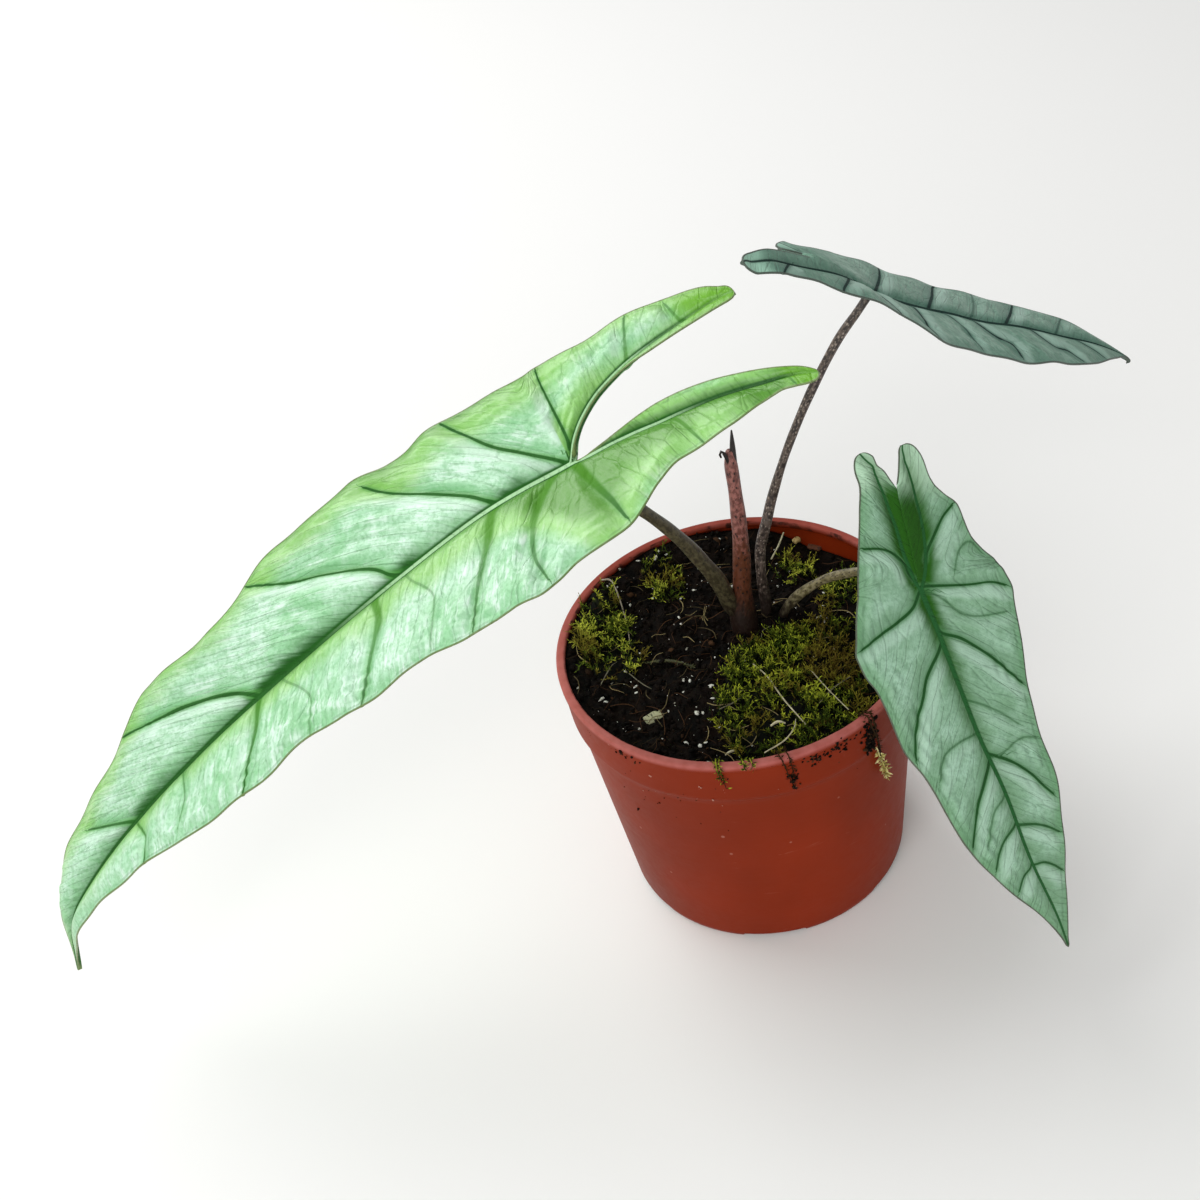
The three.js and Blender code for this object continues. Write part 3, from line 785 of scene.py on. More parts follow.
@dataclass
class Blade:
    """A leaf blade, modelled from two grids that are bent to the sheet and given a thickness.

    Sizes are millimetres. Shade_reach is how far the painted shade beside the midrib goes, wave_length that
    of the margin's waves, and mouth what the distance to the sinus gains ahead of the notch, where the
    lobes are joined and have no margin. Fold and ripple are the sizes of the small folds and of the ripples
    along the margin, and drip and lobe_tip are the lengths over which the relief fades at the blade's two
    ends.
    """

    shape: LeafShape
    finish: LeafFinish
    node: str
    thickness: float = 0.5
    rib_depth: float = 2.4
    vein_depth: float = 0.35
    shade_reach: float = 3.8
    wave_length: float = 23.0
    mouth: float = 9.0
    fold: float = 5.0
    ripple: float = 3.4
    drip: float = 40.0
    lobe_tip: float = 8.0
    vein_steps: int = 8

    def __post_init__(self) -> None:
        """Lays out the sheet."""
        self.sheet = Sheet(self.shape)

    @staticmethod
    def _rows(half: HalfShape, counts: tuple[int, int]) -> np.ndarray:
        """Distances of the grid's rows, closer together at the lobe's end and at the tip."""
        back, front = counts
        lobe = half.lobe[0][0] * (1 - (np.arange(back) / back) ** 1.35)
        share = np.arange(front + 1) / front
        return np.concatenate([lobe, half.edge[-1][0] * (1 - (1 - share) ** 1.06)])

    def _to_veins(self, half: HalfShape, spot: np.ndarray) -> tuple[np.ndarray, ...]:
        """Distances to the side veins.

        Args:
            half: the half blade.
            spot: distance along and width of each corner.

        Returns:
            The signed distance in half widths of the nearest vein, how surely that vein is drawn, how
            fresh it is, the distance in millimetres, how far the veins draw the sheet down, and the
            sheen: a painted highlight on the tipward side of the veins and painted shade on the other.
        """
        every = np.arange(len(spot))
        ratio, near, fresh = np.full(len(spot), 9.0), np.zeros(len(spot)), np.zeros(len(spot))
        clear, drawn = np.full(len(spot), 99.0), np.zeros(len(spot))
        painted_highlight, painted_shade = np.zeros(len(spot)), np.zeros(len(spot))
        ahead, behind = self.shape.reach
        for vein in half.veins:
            line = through(vein.route, self.vein_steps)
            start, step = line[:-1], np.diff(line, axis=0)
            offset = spot[:, None, :] - start[None]
            part = np.clip((offset * step).sum(-1) / (step * step).sum(-1), 0, 1)
            gap = np.linalg.norm(offset - part[..., None] * step, axis=-1)
            best = gap.argmin(1)
            apart, share = gap[every, best], (best + part[every, best]) / len(step)
            turn = offset[every, best, 0] * step[best, 1] - offset[every, best, 1] * step[best, 0]
            wide = vein.start + (vein.end - vein.start) * share**0.7
            closer = apart / wide < np.abs(ratio)
            ratio = np.where(closer, np.sign(turn) * apart / wide, ratio)
            strong = (1 - vein.faint) * ramp(apart, 3.2, 1.7)
            near = np.where(closer, strong, near)
            fresh = np.where(closer, vein.fresh * ramp(share, 1.0, 0.4), fresh)
            clear = np.minimum(clear, apart + 4 * vein.faint)
            lateral = turn / np.maximum(apart * np.linalg.norm(step[best], axis=-1), 1e-6)
            reach = 0.5 * (ahead + behind) + 0.5 * (ahead - behind) * lateral
            drawn = np.maximum(drawn, (1 - 0.7 * vein.faint) * np.exp(-((apart / reach) ** 2)))
            bold = (1 - vein.faint) * ramp(share, 0.0, 0.15)
            # A painted highlight just tipward of each strong vein, and painted shade on its other side.
            painted_highlight = np.maximum(painted_highlight, bold * ramp(lateral, 0, 0.6) * np.exp(-(((apart - 3.0) / 2.2) ** 2)))
            painted_shade = np.maximum(painted_shade, bold * ramp(-lateral, 0, 0.6) * np.exp(-((apart / 3.6) ** 2)))
        return ratio, near, fresh, clear, drawn, painted_highlight * half.sheen - painted_shade

    def _lay(self, side: Half, flat: np.ndarray) -> Lay:
        """Lays a flat grid's corners out on one half of the blade.

        Args:
            side: the half.
            flat: the corners of a grid that is one unit wide and long.

        Returns:
            Where each corner lies.
        """
        shape, half = self.shape, self.shape.halves[side]
        strip, panel = shape.columns
        column = np.rint((flat[:, 0] + 0.5) * (strip + panel)).astype(int)
        row = np.rint((flat[:, 1] + 0.5) * sum(shape.rows)).astype(int)
        rows = self._rows(half, shape.rows)
        start, end = rows[0], rows[-1]
        outline = [(r[0], r[3]) for r in half.lobe] + [tuple(r) for r in half.edge]
        lobe = [*half.lobe, (0.0, 0.0, 0.0, half.edge[0][1])]
        edges, lobe_rows = eased(outline, rows), np.minimum(rows, 0)
        sinuses, ribs = (np.where(rows < 0, eased(lobe, lobe_rows, k), 0.0) for k in (1, 2))
        along, outer, sinus, rib = rows[row], edges[row], sinuses[row], ribs[row]
        share = np.clip((column - strip) / panel, 0, 1) ** 1.18
        inland, outward = sinus + (rib - sinus) * column / strip, rib + (outer - rib) * share
        width = np.where(column < strip, inland, outward)
        rib_width = np.where(
            along < 0,
            np.interp(along, [start, 0], [0.3, 0.75 * shape.rib[0]]),
            np.interp(along, [0, end], shape.rib),
        )
        margin = (outer - width) / np.sqrt(1 + np.gradient(edges, rows)[row] ** 2)
        inside = width - sinus + self.mouth * ramp(along, shape.notch - 2, shape.notch + 3)
        margin = np.where(along < 0, np.minimum(margin, inside), margin)
        lobe_ends = ramp(along, start, start + self.lobe_tip)
        ends = np.where(along < 0, lobe_ends, ramp(along, end, end - self.drip))
        flow = along - eased(half.lean, along) * width
        folds = np.column_stack([flow, 0.3 * width, 0 * flow + 40 * side.value])
        from_rib = np.abs(width - rib)
        return Lay(along, width, outer, rib, margin, from_rib, rib_width, ends, flow, folds, start, end)

    def _relief(self, side: Half, lay: Lay, drawn: np.ndarray) -> np.ndarray:
        """How far the corners stand above the smooth sheet.

        Args:
            side: the half.
            lay: where its corners lie.
            drawn: how far the side veins draw the sheet down.

        Returns:
            The heights of the quilting, the folds, the ripples, the midrib and the margin's waves together.
        """
        shape, half = self.shape, self.shape.halves[side]
        calm, broad = ramp(lay.margin, 0.0, 5.0), ramp(lay.outer, 6.0, 22.0)
        relief = shape.quilt * (1 - drawn) * calm * ramp(lay.from_rib, 0.0, 6.0)
        pucker = shape.pucker * clouds(lay.folds, self.fold, 3)
        relief += pucker * calm * broad * ramp(lay.from_rib, 1.0, 8.0)
        ripples = np.sin(lay.margin * math.tau / self.ripple)
        ripples *= ramp(clouds(lay.folds + 90, 1.2 * self.fold, 2), -0.1, 0.4) * broad
        inland = ramp(lay.margin, 1.0, 3.0) * ramp(lay.margin, 14.0, 8.0)
        relief += half.arcs * ripples * inland * ramp(lay.along, -20, 0)
        for depth, reach in ((-shape.groove, 2.4), (shape.ridge, 0.8)):
            relief += depth * lay.ends * np.exp(-((lay.from_rib / (reach * lay.rib_width)) ** 2))
        roll = (lay.width / np.maximum(lay.outer, 1.0)) ** 4 * lay.ends
        return relief + shape.wave * roll * np.sin(lay.along * math.tau / self.wave_length + side.value)

    def _dark(self, half: HalfShape, lay: Lay) -> np.ndarray:
        """Painted shade beside the midrib, and the darker green of the strip inside the lobe's rib, from 0
        to 1.
        """
        shape = self.shape
        reach = self.shade_reach * (1 + shape.ragged * clouds(lay.folds * (1, 0.5, 1) + 7, 1.6, 2))
        beside = eased(half.shade, lay.along) * np.exp(-((lay.from_rib / reach) ** 2))
        inside = lay.rib - lay.width
        first, full = (lay.start + length for length in shape.strip_start)
        strip = shape.strip_depth * ramp(inside, 0.0, 1.0) * ramp(inside, shape.strip_fade, 0.0)
        strip *= (lay.along < 0) * ramp(lay.margin, 0.5, 1.5) * ramp(lay.along, first, full)
        return np.maximum(beside, strip)

    def _half(self, side: Half) -> bpy.types.Object:
        """One half of the blade as an open sheet that carries what its finish reads."""
        shape, half = self.shape, self.shape.halves[side]
        Bench.clear()
        columns, rows = sum(shape.columns), sum(shape.rows)
        bpy.ops.mesh.primitive_grid_add(x_subdivisions=columns, y_subdivisions=rows, size=1)
        grid = bpy.context.object
        lay = self._lay(side, Bench.corners(grid) * MM)
        vein, near, fresh, clear, drawn, sheen = self._to_veins(half, np.stack([lay.along, lay.width], -1))
        lift = np.tan(np.radians(eased(half.lift, lay.along)))
        fold = math.tan(math.radians(shape.strip))
        rise = lift * lay.width + fold * np.maximum(0, lay.rib - lay.width) + self._relief(side, lay, drawn)
        middle, across, up = self.sheet.frame(lay.along)
        sideways = side.value * lay.width
        Bench.move(grid, middle + sideways[:, None] * across + rise[:, None] * up)
        early, pale, late, faded = shape.crown
        under = np.clip(1 - (lay.from_rib / (1.6 * lay.rib_width)) ** 2, 0, 1)
        under = under * lay.rib_width / shape.rib[0]
        deep = self.thickness + self.rib_depth * under + self.vein_depth * np.exp(-(vein**2))
        from_edge = lay.from_rib + 10.0 * (lay.width < lay.rib) if half.inner else lay.margin
        Bench.carry(
            grid,
            vein=vein,
            near=near,
            fresh=fresh,
            crown=ramp(lay.along, early, pale) * ramp(lay.along, faded, late),
            rib=lay.from_rib / lay.rib_width,
            margin=lay.margin,
            open=np.minimum(np.minimum(clear, lay.from_rib), lay.margin + 1.0),
            # Painted shade beside the midrib, and the strip's darker green.
            dark=self._dark(half, lay),
            blush=eased(half.blush, lay.along) - from_edge,
            # Painted highlight and shade beside the veins, and painted shade over the lobe.
            sheen=sheen - half.darker * ramp(lay.along, 4.0, -8.0),
            # How bright the painted highlight on the small folds is.
            gloss=half.gloss * ramp(lay.from_rib, 4.0, 14.0),
            tips=ramp(lay.along, lay.start + half.tip_reach, lay.start + 3.0),
            flow=np.stack([lay.flow, sideways, 0 * sideways], -1),
            deep=np.minimum(deep / (self.thickness + self.rib_depth), 1.0),
        )
        if side is Half.LEFT:
            with Bench.editing(grid):
                bpy.ops.mesh.flip_normals()
        return grid

    def build(self) -> bpy.types.Object:
        """Joins the halves, gives the sheet its thickness and ribs, and dresses it."""
        blade = Bench.join(self.shape.name, [self._half(Half.LEFT), self._half(Half.RIGHT)])
        with Bench.editing(blade):
            bpy.ops.mesh.remove_doubles(threshold=0.02 * MM)
        deep = np.empty(len(blade.data.vertices), np.float32)
        blade.data.attributes["deep"].data.foreach_get("value", deep)
        group = blade.vertex_groups.new(name="deep")
        for index, value in enumerate(deep):
            group.add([index], float(value), "REPLACE")
        full = (self.thickness + self.rib_depth) * MM
        Bench.apply(blade, "SOLIDIFY", thickness=full, offset=-1.0, vertex_group="deep", material_offset=1)
        blade.vertex_groups.clear()
        materials = [self.finish.top(), self.finish.under()]
        return Bench.hand_in(blade, self.finish.slot, materials, [self.node], 180)


BIG_LEAF = LeafShape(
    name="big_leaf",
    spine=(
        (33, -3, 216), (13, -5, 210), (-7, -8, 203), (-25, -11, 196), (-41, -14, 191), (-68, -17, 183),
        (-100, -20, 167), (-133, -23, 148), (-169, -26, 125), (-200, -28, 101), (-222, -30, 80),
        (-233, -30, 64), (-239, -30, 41),
    ),
    joint=4,
    facing=(-0.4, -0.3, 0.85),
    strip=24,
    rib=(0.7, 0.3),
    rows=(90, 286),
    columns=(12, 48),
    crown=(-45, -25, 50, 100),
    strip_fade=4.0,
    strip_depth=0.55,
    quilt=2.2,
    reach=(3.5, 9.0),
    groove=1.2,
    ridge=0.6,
    pucker=1.05,
    halves={
        Half.LEFT: HalfShape(
            lobe=(
                (-75.3, 22.4, 22.4, 22.4), (-75.1, 21.5, 22.2, 23.4), (-74.6, 20.8, 21.9, 24.1),
                (-73.6, 19.6, 21.2, 24.5), (-71.6, 17.7, 19.7, 24.3), (-68, 15.4, 18, 23.3),
                (-63, 12.8, 16.4, 21.9), (-56, 9.6, 14, 21.8), (-45, 5, 10.2, 23.4), (-36, 2.4, 7.8, 23.3),
                (-28, 1, 5.8, 22.9), (-20, 0.4, 3.4, 25.6), (-12, 0.4, 1.8, 29.4), (-5, 0.4, 1, 33.4),
            ),
            edge=(
                (0, 34.3), (9, 35), (17, 38), (23, 39.6), (32, 38), (48, 37.2), (63, 32.8), (80, 32.6),
                (96, 30.4), (110, 27), (124, 28.4), (142, 27), (160, 24.4), (179, 18.4), (199, 14),
                (216, 9.8), (230, 7.6), (240, 5), (248, 2.4), (253, 1), (257.5, 0.5), (258.3, 0),
            ),
            lift=((-80, 6), (260, 6)),
            lean=((-76, -0.3), (-10, -0.2), (5, 0.35), (27, 0.55), (72, 0.55), (122, 0.6), (260, 0.6)),
            shade=((-76, 0), (0, 0.15), (60, 0.3), (150, 0.45), (200, 0.3), (260, 0.2)),
            blush=(
                (-75, 28), (-45, 17), (-15, 24), (0, 36), (12, 25), (30, 14), (60, 10), (120, 9), (258, 3),
            ),
            veins=(
                Vein(((1, 0), (-1, 1.3), (-3, 11), (-5, 21.1), (-6, 30.2)), 2.6, 0.35, 0.15, 1),
                Vein(((3, 0), (5, 0.9), (12, 7.7), (17, 15.7), (20, 26.2), (19, 35.9)), 2.0, 0.3, 0.25, 1),
                Vein(((25, 0), (27, 2.5), (32, 12.3), (38, 21.5), (46, 36.4)), 2.3, 0.3, 0.2, 1),
                Vein(((71, 0), (72, 1.3), (73, 9.6), (80, 19.6), (88, 31.6)), 2.0, 0.3, 0.2, 0.9),
                Vein(((121, 0), (122, 2.5), (126, 9.5), (132, 18.4), (138, 29)), 1.4, 0.3, 0, 0.7),
                Vein(((184, 0), (183, 2.1), (181, 10.9), (186, 19.1)), 0.55, 0.3, 0.1, 0.5),
                Vein(((60, 0), (58, 5.4), (53, 17), (60, 30.7)), 0.5, 0.3, 0.6),
                Vein(((112, 0), (110, 3.4), (103, 15.7), (108, 26.6)), 0.5, 0.3, 0.6),
                Vein(((158, 0), (158, 2.6), (159, 10.7), (165, 18.6)), 0.5, 0.3, 0.5),
                Vein(((-30, 6.5), (-33, 9.8), (-35, 18), (-36, 22.7)), 0.9, 0.3, 0.3, 0.9),
                Vein(((-64, 17.2), (-67, 18.5), (-68, 22.1)), 0.6, 0.3, 0.4, 0.9),
            ),
            inner=True,
            sheen=0.5,
            gloss=1.0,
            arcs=0.3,
        ),
        Half.RIGHT: HalfShape(
            lobe=(
                (-65.9, 18.6, 18.6, 18.6), (-65.7, 17.6, 18.5, 19.8), (-65.3, 16.6, 18.6, 20.8),
                (-64.4, 15.8, 18.9, 21.8), (-62.6, 15.3, 19.2, 22.8), (-59.7, 15.2, 19.5, 24.8),
                (-53.3, 15.3, 19.6, 27.9), (-46, 15.6, 19.5, 30.4), (-38, 15.7, 19.2, 32),
                (-30, 16.2, 18.7, 33.1), (-19, 14.9, 16.4, 33.8), (-10, 10.2, 11.6, 34.9),
                (-4, 5, 6.2, 35.5),
            ),
            edge=(
                (0, 35), (8, 34.2), (16, 34.4), (25, 34.6), (34, 35.3), (43, 34.2), (49, 34.4), (64, 38.4),
                (78, 37.4), (93, 38.2), (108, 35.4), (125, 31), (142, 31.6), (159, 33), (172, 27.2),
                (191, 21), (213, 17.4), (226, 13.4), (236, 7.6), (244, 3.4), (252, 1.2), (257.5, 0.5),
                (258.3, 0),
            ),
            lift=((-80, 6), (260, 6)),
            lean=((-67, -0.3), (-10, -0.1), (5, 0.8), (27, 1.0), (64, 1.4), (121, 2.0), (260, 2.0)),
            shade=(
                (-67, 0), (-10, 0.2), (10, 0.35), (20, 0.8), (27, 0.4), (36, 0.25), (50, 0.4), (60, 1.0),
                (68, 0.6), (76, 0.35), (95, 0.75), (119, 1), (128, 0.5), (150, 0.4), (180, 0.75),
                (188, 0.5), (260, 0.3),
            ),
            blush=((-66, 15), (-45, 5), (-20, 8), (0, 14), (25, 12), (60, 11), (110, 7), (258, 4)),
            veins=(
                Vein(((0, 0), (4, 3.8), (18, 16.7), (25, 27.5), (29, 34.5)), 0.75, 0.35),
                Vein(((24, 0), (27, 2.7), (32, 8.2), (43, 17.8), (53, 26.3), (59, 33.2)), 0.75, 0.35),
                Vein(((61, 0), (64, 2.3), (69, 8.4), (83, 17.6), (95, 24.3), (109, 33.9)), 0.75, 0.35),
                Vein(((121, 0), (130, 7.5), (147, 16.1), (161, 21.7), (174, 25.8)), 0.75, 0.35),
                Vein(((184, 0), (194, 6.5), (203, 12.5)), 0.6, 0.3, 0.1),
                Vein(((-2, 4), (-3, 9.1), (-4, 27.2), (-5, 34.2)), 0.65, 0.35),
                Vein(((-29, 18.6), (-31, 20.6), (-36, 31.1)), 0.7, 0.35, 0.3, 0.8),
                Vein(((-50, 19.6), (-49, 20.7), (-48, 27.4)), 0.6, 0.3, 0.4, 0.9),
            ),
            tip_reach=30.0,
            sheen=0.75,
            gloss=0.85,
            arcs=0.25,
        ),
    },
)

UPPER_EDGE = (
    (0, 20.6), (7, 22.6), (14, 24.2), (22, 24.1), (32, 23.4), (45, 22.4), (58, 22.5), (70, 21.5),
    (82, 19.8), (92, 18.4), (101, 16.6), (108, 14.4), (114, 12.2), (120, 9.8), (126, 7.2), (132, 4.4),
    (137, 2), (140.5, 0.9), (142.5, 0.55), (145, 0.4), (145.6, 0),
)

UPPER_LEAF = LeafShape(
    name="upper_leaf",
    spine=(
        (13, -9, 252), (23, -2, 242), (33, 5, 232), (45, 12, 221), (56, 20, 207), (65, 25, 197),
        (76, 31, 187), (87, 37, 178), (99, 43, 168), (113, 50, 158), (128, 57, 146), (143, 64, 134),
        (156, 70, 121), (157.5, 70.8, 117.5), (157, 70.6, 114.5),
    ),
    joint=4,
    facing=(0.64, 0.03, 0.77),
    strip=14,
    rib=(0.8, 0.35),
    rows=(80, 196),
    columns=(8, 36),
    notch=-28,
    strip_depth=0.15,
    quilt=0.9,
    reach=(2.8, 6.0),
    wave=0.3,
    halves={
        Half.RIGHT: HalfShape(
            lobe=(
                (-64.2, 8.6, 8.6, 8.6), (-64, 7.6, 8.4, 9.7), (-63.2, 6.6, 8, 10.6),
                (-61.4, 5.6, 7.6, 11.4), (-58, 4.6, 7.2, 12), (-50, 2.8, 6.6, 13.2), (-43, 1.8, 6.2, 13.4),
                (-37, 1.2, 5.8, 13.8), (-30, 0.9, 5.2, 15.6), (-20, 0.6, 4.2, 17.8), (-10, 0.4, 2.4, 18.8),
            ),
            edge=UPPER_EDGE,
            lift=(
                (-60, -16), (-50, 1), (-30, 3), (-12, 7), (0, 9), (20, 5), (45, 1), (100, 0), (141, -3),
            ),
            lean=((-60, -0.5), (-10, -0.3), (20, 0.2), (60, 0.5), (141, 0.6)),
            shade=((-60, 0.0), (0, 0.4), (140, 0.3)),
            blush=((-60, 2), (145, 2)),
            veins=(
                Vein(((-42, 6.1), (-44, 7), (-49, 10.5), (-52, 13)), 0.5, 0.3),
                Vein(((-12, 3), (-14, 4.8), (-24, 13.1), (-27, 16)), 0.55, 0.35),
                Vein(((1, 0), (2, 8), (-2, 19)), 0.6, 0.35),
                Vein(((22, 0), (24, 1.5), (23, 6.9), (18, 16.8), (17, 23)), 0.6, 0.35),
                Vein(((40, 0), (43, 8), (42, 20)), 0.5, 0.3, 0.3),
                Vein(((54, 0), (60, 9.5), (65, 12.3), (64, 18.8)), 0.6, 0.35),
                Vein(((84, 0), (89, 9.2), (96, 10.7), (100, 15.2)), 0.55, 0.3),
                Vein(((108, 0), (114, 5), (118, 9)), 0.45, 0.3, 0.2),
            ),
        ),
        Half.LEFT: HalfShape(
            lobe=(
                (-34.4, 6.6, 6.6, 6.6), (-34.2, 5.6, 6.4, 7.7), (-33.4, 4.4, 6.2, 9), (-31.6, 3.2, 6, 10.8),
                (-28.6, 2.2, 5.8, 13.2), (-25, 1.5, 5.4, 15.4), (-20, 0.9, 4.6, 17.6), (-10, 0.4, 2.4, 20),
            ),
            edge=UPPER_EDGE,
            lift=((-50, -16), (-20, -15), (0, -7), (20, -4), (45, -7), (92, -9), (108, -3), (141, 0)),
            lean=((-50, -0.5), (-10, -0.2), (10, 0.9), (60, 1.0), (141, 1.0)),
            shade=((-60, 0.2), (0, 0.5), (140, 0.4)),
            blush=((-60, 2), (145, 2)),
            darker=0.7,
            veins=(
                Vein(((-20, 4.6), (-24, 9), (-27, 13.5)), 0.5, 0.3),
                Vein(((-8, 2.2), (-12, 9), (-15, 18)), 0.5, 0.3),
                Vein(((8, 0), (10, 2.2), (22, 13), (32, 23.5)), 0.75, 0.35),
                Vein(((35, 0), (37, 2.2), (46, 10), (54, 18), (59, 22)), 0.75, 0.35),
                Vein(((56, 0), (66, 9), (76, 20)), 0.5, 0.3, 0.6),
                Vein(((74, 0), (76, 1.8), (85, 9), (94, 17.1)), 0.7, 0.35),
                Vein(((100, 0), (108, 7), (114, 12)), 0.45, 0.3, 0.5),
            ),
        ),
    },
)

RIGHT_LEAF = LeafShape(
    name="right_leaf",
    spine=(
        (53, 4, 160), (56, -4, 152), (56, -12, 144), (56, -21, 135), (56, -30, 126), (58, -38, 117),
        (60, -46, 107), (62, -55, 97), (64, -62, 88), (68, -72, 74), (72, -82, 54), (78, -88, 32),
        (81, -91, 17),
    ),
    joint=4,
    facing=(0.25, -0.77, 0.58),
    strip=12,
    rib=(0.8, 0.3),
    rows=(80, 200),
    columns=(10, 42),
    notch=-32,
    strip_start=(2, 24),
    ragged=0.15,
    quilt=1.0,
    reach=(2.4, 5.0),
    groove=0.6,
    ridge=0.3,
    halves={
        Half.LEFT: HalfShape(
            lobe=(
                (-43.7, 6.8, 6.8, 6.8), (-43.6, 6, 6.6, 7.7), (-43.2, 5.2, 6.3, 8.6),
                (-42.3, 4.4, 5.8, 9.5), (-41, 3.6, 5.4, 10.1), (-38.5, 2, 4.8, 10.6),
                (-35.1, 0.1, 4.8, 10.8), (-32, -1.2, 4.9, 11.9), (-29.3, -1.4, 5, 14),
                (-23.6, -1.4, 5.2, 17.9), (-18.7, -1.2, 5.1, 18.7), (-13.6, -1, 4.5, 20),
                (-9.7, -0.8, 3.8, 22.7), (-5.2, -0.5, 2.6, 26),
            ),
            edge=(
                (0, 27), (6, 27.6), (10, 28.1), (13, 27.3), (22, 25.1), (32, 22.8), (44, 20.2), (57, 18.4),
                (68, 17.6), (78, 16), (88, 13.7), (98, 10.8), (108, 7.1), (116, 4), (122, 2.2),
                (126, 1.1), (129, 0.5), (129.7, 0),
            ),
            lift=((-46, 2), (130, 2)),
            lean=((-45, -1.2), (-10, -0.9), (0, 0.3), (15, 0.8), (55, 1.0), (130, 1.0)),
            shade=((-46, 0.3), (0, 0.9), (14, 0.7), (50, 0.4), (130, 0.15)),
            blush=((-46, 2), (130, 2)),
            veins=(
                Vein(((-1, 0), (-1, 1.6), (1, 8.2), (4, 15.7), (6, 21.5), (9, 26)), 0.62, 0.34),
                Vein(((-9, 3.4), (-12, 5), (-17, 8.9), (-21, 12.2), (-24, 16)), 0.55, 0.34),
                Vein(((-8, 22.4), (-12, 19.1), (-10, 14.8), (-4, 12)), 0.3, 0.3, 0.5),
                Vein(((1, 1), (2, 2.9), (6, 5.9), (11, 8.8), (14, 13.9), (16, 22.2)), 0.35, 0.3, 0.5),
                Vein(((13, 0), (15, 1.5), (18, 5.7), (23, 10), (28, 13.8), (33, 16.7), (38, 19.4)), 0.6),
                Vein(((54, -0.2), (57, 3.2), (61, 6.8), (66, 9.9), (71, 12.2), (75, 14.4)), 0.6, 0.32),
                Vein(((56, 1), (56, 5.3), (55, 9.2), (55, 12.8), (57, 16.6)), 0.3, 0.3, 0.5),
                Vein(((79, 0), (81, 4.8), (84, 8.8), (88, 12)), 0.5, 0.3, 0.1),
                Vein(((94, 0), (95, 3.3), (98, 5.9), (102, 7.9)), 0.45, 0.3, 0.1),
                Vein(((36, 0), (39, 4), (44, 9), (50, 13)), 0.35, 0.28, 0.5),
            ),
            tip_reach=22.0,
            gloss=0.15,
            arcs=0.35,
        ),
        Half.RIGHT: HalfShape(
            lobe=(
                (-47.5, 7, 7, 7), (-47.4, 6.2, 7, 7.9), (-47, 5.3, 6.9, 8.9), (-46.1, 4.4, 6.7, 9.9),
                (-44.6, 3.7, 6.2, 10.9), (-42, 3.9, 5.3, 11.8), (-39.4, 3, 5.8, 12.2),
                (-35.8, 2.3, 5.9, 12.7), (-32.3, 1.2, 5.4, 13.2), (-26, 0.6, 4.3, 14.6),
                (-20, 0.4, 3.5, 16.4), (-13, 0.2, 3.1, 18.6), (-7, 0.1, 2.1, 19.8), (-2.5, 0, 1.1, 21),
            ),
            edge=(
                (0, 22.6), (5, 25.8), (11, 28.6), (17, 28), (24, 26), (33, 25.6), (42, 25), (52, 22),
                (64, 20.8), (74, 19.6), (82, 17.2), (90, 13.6), (98, 10.4), (108, 6.4), (116, 3.8),
                (122, 2), (126, 1), (129, 0.5), (129.7, 0),
            ),
            lift=((-48, 2), (130, 2)),
            lean=((-48, -1.2), (-10, -0.9), (0, 0.3), (20, 1.0), (58, 1.1), (130, 1.0)),
            shade=((-48, 0.3), (0, 0.9), (14, 0.7), (50, 0.4), (130, 0.15)),
            blush=((-48, 2), (130, 2)),
            veins=(
                Vein(((-4, 1.6), (-6, 2.8), (-9, 3.7), (-13, 6.8), (-15, 10.4), (-16, 16)), 0.55, 0.34),
                Vein(((0, 0), (0.5, 1.1), (4, 5), (6, 11.6), (7, 17.4), (9, 26)), 0.62, 0.34),
                Vein(((17, 0), (20, 3.2), (23, 6.8), (26, 9.7), (31, 13), (36, 17.1), (41, 20), (46, 22))),
                Vein(((47, 0), (47, 2.6), (47, 6.9), (48, 12), (50, 15.1), (54, 18)), 0.35, 0.3, 0.45),
                Vein(((56, -0.2), (58, 1.8), (63, 6.6), (67, 10.4), (74, 14.5), (78, 16.8)), 0.6, 0.32),
                Vein(((68, 0), (69, 1.5), (71, 5.7), (75, 8.9), (80, 12)), 0.35, 0.3, 0.5),
                Vein(((78, 0), (79, 1.6), (81, 5.6), (84, 9.1), (88, 12)), 0.5, 0.3, 0.1),
                Vein(((93, 0), (94, 1.4), (95, 4.8), (98, 8.1)), 0.45, 0.3, 0.1),
            ),
            tip_reach=22.0,
            gloss=0.15,
            arcs=0.35,
        ),
    },
)

BIG_FINISH = LeafFinish(
    slot=Slot.BIG_LEAF,
    panel="9bd7a2",
    pale="d4f6df",
    shade="72b577",
    vein="23601c",
    halo="58a04a",
    rib="b0dca8",
    strip="175a0e",
    margin="8dcb50",
    rim="6c8448",
    tips="6eb21e",
    back="a0c898",
    back_vein="78a86e",
    roughness=0.34,
    coat=0.35,
    veinlets=0.13,
    painted_highlight="e2fbea",
    fresh="488a0c",
    marginal=1.5,
    rib_edge=(2.7, 1.6),
)

UPPER_FINISH = LeafFinish(
    slot=Slot.UPPER_LEAF,
    panel="6b9680",
    pale="98bea9",
    shade="507b69",
    vein="12302a",
    halo="3a6858",
    rib="1c3c34",
    strip="4d7c6a",
    margin="5c8a76",
    rim="4e5a50",
    tips="a8d6be",
    back="8fae9c",
    back_vein="6f8f7c",
    roughness=0.5,
    coat=0.1,
    veinlets=0.14,
    painted_highlight="b0d2c2",
    rib_edge=(1.7, 0.9),
)

